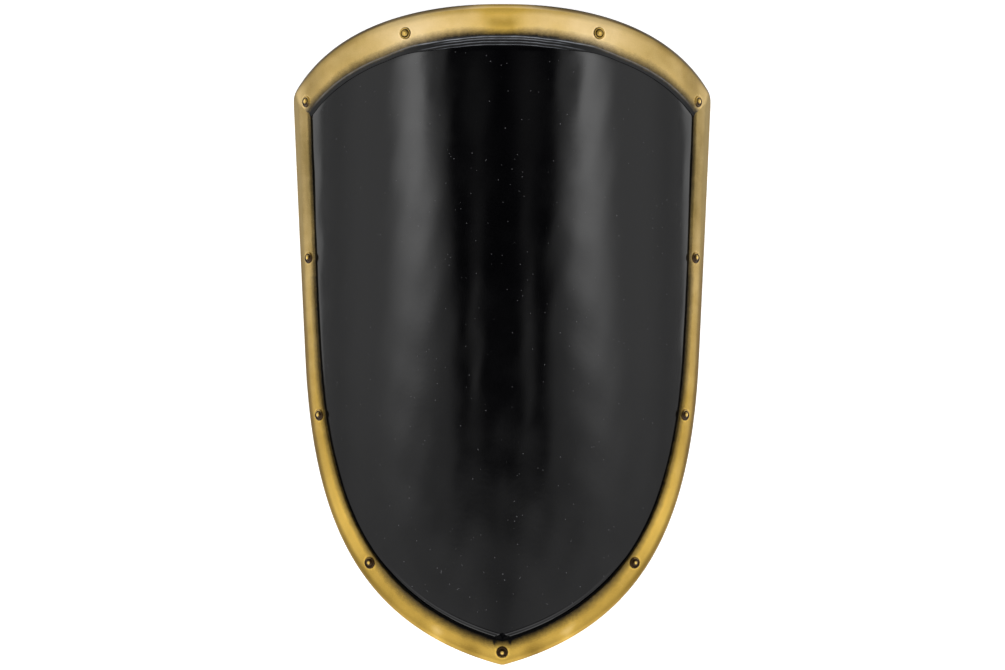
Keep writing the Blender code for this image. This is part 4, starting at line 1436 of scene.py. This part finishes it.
# The studio as a list of steps. Each has its name, what it does, and the steps or numbers that it works
# on. A fade goes between two places of its first term and gives its last two terms there. "up" is how
# far a direction points towards the shield's top, "out" how far out of its face, and "aside" its angle
# to the side in degrees.
STUDIO = (
    ("across", "ABSOLUTE", "right"),
    ("aside", "ARCTAN2", "across", "out"),
    ("aside", "DEGREES", "aside"),
    # the dark recess where the camera stands, narrower at the bottom
    ("high", "fade", "up", 0.0, 0.10, 0.0, 1.0),
    ("recess_from", "MULTIPLY_ADD", "high", 5.0, 18.0),
    ("recess_to", "MULTIPLY_ADD", "high", 3.0, 25.0),
    ("recess", "fade", "aside", "recess_from", "recess_to", 0.0, 1.0),
    # the walls, with a shelf of light half-way to the side
    ("wall", "fade", "up", -0.12, 0.0, WALLS_LOW, WALLS),
    ("shelf", "fade", "aside", 30.0, 50.0, 0.50, 0.92),
    ("far_side", "fade", "aside", 66.0, 92.0, 1.0, 0.55),
    ("room", "MULTIPLY", "wall", "shelf"),
    ("room", "MULTIPLY", "room", "far_side"),
    ("room", "MULTIPLY", "room", "recess"),
    # the tall strip light, which leans out below the middle
    ("below", "SUBTRACT", 0.05, "up"),
    ("below", "MAXIMUM", "below", 0.0),
    ("lean", "MULTIPLY", "below", 100.0),
    ("centre", "ADD", "lean", STRIP_ANGLE),
    ("soft_side", "fade", "up", 0.085, 0.110, 15.0, 6.4),
    ("soft_side", "MULTIPLY_ADD", "lean", 0.9, "soft_side"),
    ("soft_side", "SUBTRACT", "centre", "soft_side"),
    ("full_side", "fade", "up", 0.085, 0.110, 3.5, 2.0),
    ("full_side", "SUBTRACT", "centre", "full_side"),
    ("inner", "fade", "aside", "soft_side", "full_side", 0.0, 1.0),
    ("far_end", "ADD", "centre", STRIP_WIDTH),
    ("outer", "fade", "aside", "centre", "far_end", 1.0, 0.0),
    ("strip", "fade", "up", -0.085, 0.13, 0.0, STRIP),
    ("strip", "MULTIPLY", "strip", "inner"),
    ("strip", "MULTIPLY", "strip", "outer"),
    ("total", "ADD", "room", "strip"),
    # the fill from below
    ("fill", "fade", "up", -0.135, -0.05, WALLS_LOW, 0.0),
    ("fill_side", "fade", "aside", 0.0, 14.0, 0.6, 1.0),
    ("fill", "MULTIPLY", "fill", "fill_side"),
    ("total", "MAXIMUM", "total", "fill"),
)
# Small soft lights on either side: the angle aside, half its spread, the height, half its spread, and
# the strength
GLOWS = (
    (10.5, 4.5, 0.066, 0.014, 0.30),
    (12.0, 4.5, -0.005, 0.060, 0.50),
    (0.0, 4.5, -0.080, 0.022, 0.28),
    (12.0, 11.0, 0.125, 0.050, 0.16),
)
# What the room gives way to: along which direction, between which two places, its share at each of
# them, and its radiance
ROOM_ENDS = (
    ("up", 0.18, 0.42, 0.0, 1.0, CEILING),
    ("up", -0.45, -0.19, 1.0, 0.0, TABLE),
    ("out", 0.03, 0.24, 1.0, 0.0, HORIZON),
)


def make_camera():
    """The photograph's view: straight down on the middle of the shield's face, top up."""
    data = bpy.data.cameras.new("camera")
    data.sensor_width = SENSOR_WIDTH
    data.lens = CAMERA_DISTANCE * SENSOR_WIDTH / (FRAME_WIDTH * METRES_PER_PIXEL)
    data.shift_x = (FRAME_WIDTH / 2 - SHIELD_CENTRE_X) / FRAME_WIDTH
    data.shift_y = (SHIELD_CENTRE_Y - FRAME_HEIGHT / 2) / FRAME_WIDTH
    camera = new_object("camera", data)
    camera.matrix_world = POSE @ Matrix.Translation((0.0, 0.0, RIM_RISE + CAMERA_DISTANCE))
    bpy.context.scene.camera = camera


def make_floor():
    """A plain white floor under the lying shield, lit a little from below, and dimmer far away."""
    mesh = bpy.data.meshes.new("floor")
    corners = [(x * FLOOR_HALF, y * FLOOR_HALF, 0.0) for x, y in ((-1, -1), (1, -1), (1, 1), (-1, 1))]
    mesh.from_pydata(corners, [], [(0, 1, 2, 3)])
    made, tree, shader, place = new_material("white_floor")
    away = add_node(tree, "ShaderNodeVectorMath", {0: place}, "Value", operation="LENGTH")
    reach = {0: away, "From Min": FLOOR_WHITE_TO, "From Max": FLOOR_GREY_FROM, "To Min": 1.0, "To Max": 0.0}
    near = add_node(tree, "ShaderNodeMapRange", reach, interpolation_type="SMOOTHSTEP")
    shades = {0: near, 6: colour(FLOOR_GREY), 7: colour(FLOOR_WHITE)}
    lit = {0: near, 1: FLOOR_GLOW}
    connect(tree, shader, {
        "Base Color": add_node(tree, "ShaderNodeMix", shades, 2, data_type="RGBA"),
        "Roughness": 0.9,
        "Emission Color": colour("FFFFFF"),
        "Emission Strength": add_node(tree, "ShaderNodeMath", lit, operation="MULTIPLY"),
    })
    mesh.materials.append(made)
    new_object("floor", mesh)


def make_key_light():
    """A broad overhead light that lifts the floor and the gilt, and doesn't mirror in the gloss."""
    data = bpy.data.lights.new("overhead", "SUN")
    data.energy = KEY_STRENGTH
    data.angle = math.radians(KEY_ANGLE)
    light = new_object("overhead", data)
    light.visible_glossy = False


def studio_steps():
    """All the steps that make the studio's light, the last of which is the total."""
    steps = list(STUDIO)
    for angle, half_angle, height, half_height, strength in GLOWS:
        steps += [
            ("off", "SUBTRACT", "aside", angle),
            ("off", "ABSOLUTE", "off"),
            ("glow", "fade", "off", 0.0, half_angle, strength, 0.0),
            ("off", "SUBTRACT", "up", height),
            ("off", "ABSOLUTE", "off"),
            ("off", "fade", "off", 0.0, half_height, 1.0, 0.0),
            ("total", "MULTIPLY_ADD", "glow", "off", "total"),
        ]
    for way, low, high, at_low, at_high, radiance in ROOM_ENDS:
        steps += [
            ("share", "fade", way, low, high, at_low, at_high),
            ("change", "SUBTRACT", radiance, "total"),
            ("total", "MULTIPLY_ADD", "share", "change", "total"),
        ]
    return steps


def make_world():
    """A pale studio, dark where the camera stands, with a tall soft strip light on either side."""
    world = bpy.data.worlds.new("studio")
    world.use_nodes = True
    tree = world.node_tree
    level = {"Vector": add_node(tree, "ShaderNodeTexCoord", out="Generated"), "Angle": -PITCH}
    toward = add_node(tree, "ShaderNodeVectorRotate", level, rotation_type="X_AXIS")
    parts = add_node(tree, "ShaderNodeSeparateXYZ", {"Vector": toward}, None).outputs
    made = {"right": parts["X"], "up": parts["Y"], "out": parts["Z"]}
    for name, work, *terms in studio_steps():
        inputs = {index: made.get(term, term) for index, term in enumerate(terms)}
        if work == "fade":
            made[name] = add_node(tree, "ShaderNodeMapRange", inputs, interpolation_type="SMOOTHSTEP")
        else:
            made[name] = add_node(tree, "ShaderNodeMath", inputs, operation=work)
    tree.links.new(made["total"], tree.nodes["Background"].inputs["Strength"])
    tree.nodes["Background"].inputs["Color"].default_value = (1.0, 1.0, 1.0, 1.0)
    bpy.context.scene.world = world


def main():
    bpy.context.scene.view_settings.view_transform = "Standard"
    make_camera()
    make_floor()
    make_world()
    make_key_light()
    gilt = gilt_latex()
    names = sorted(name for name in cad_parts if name.startswith("rim_stud_"))
    places = [place_of(name) for name in names]
    rim = make_rim(gilt, places)
    make_board(black_latex(), foam_back())
    tree = set_on_points_tree()
    surface = BVHTree.FromObject(rim, bpy.context.evaluated_depsgraph_get())
    make_studs(tree, gilt, surface, names, places)
    dust = varnished_dust()
    make_specks(tree, dust)
    make_scratches(tree, dust)
    make_arm_fittings(tree)


main()
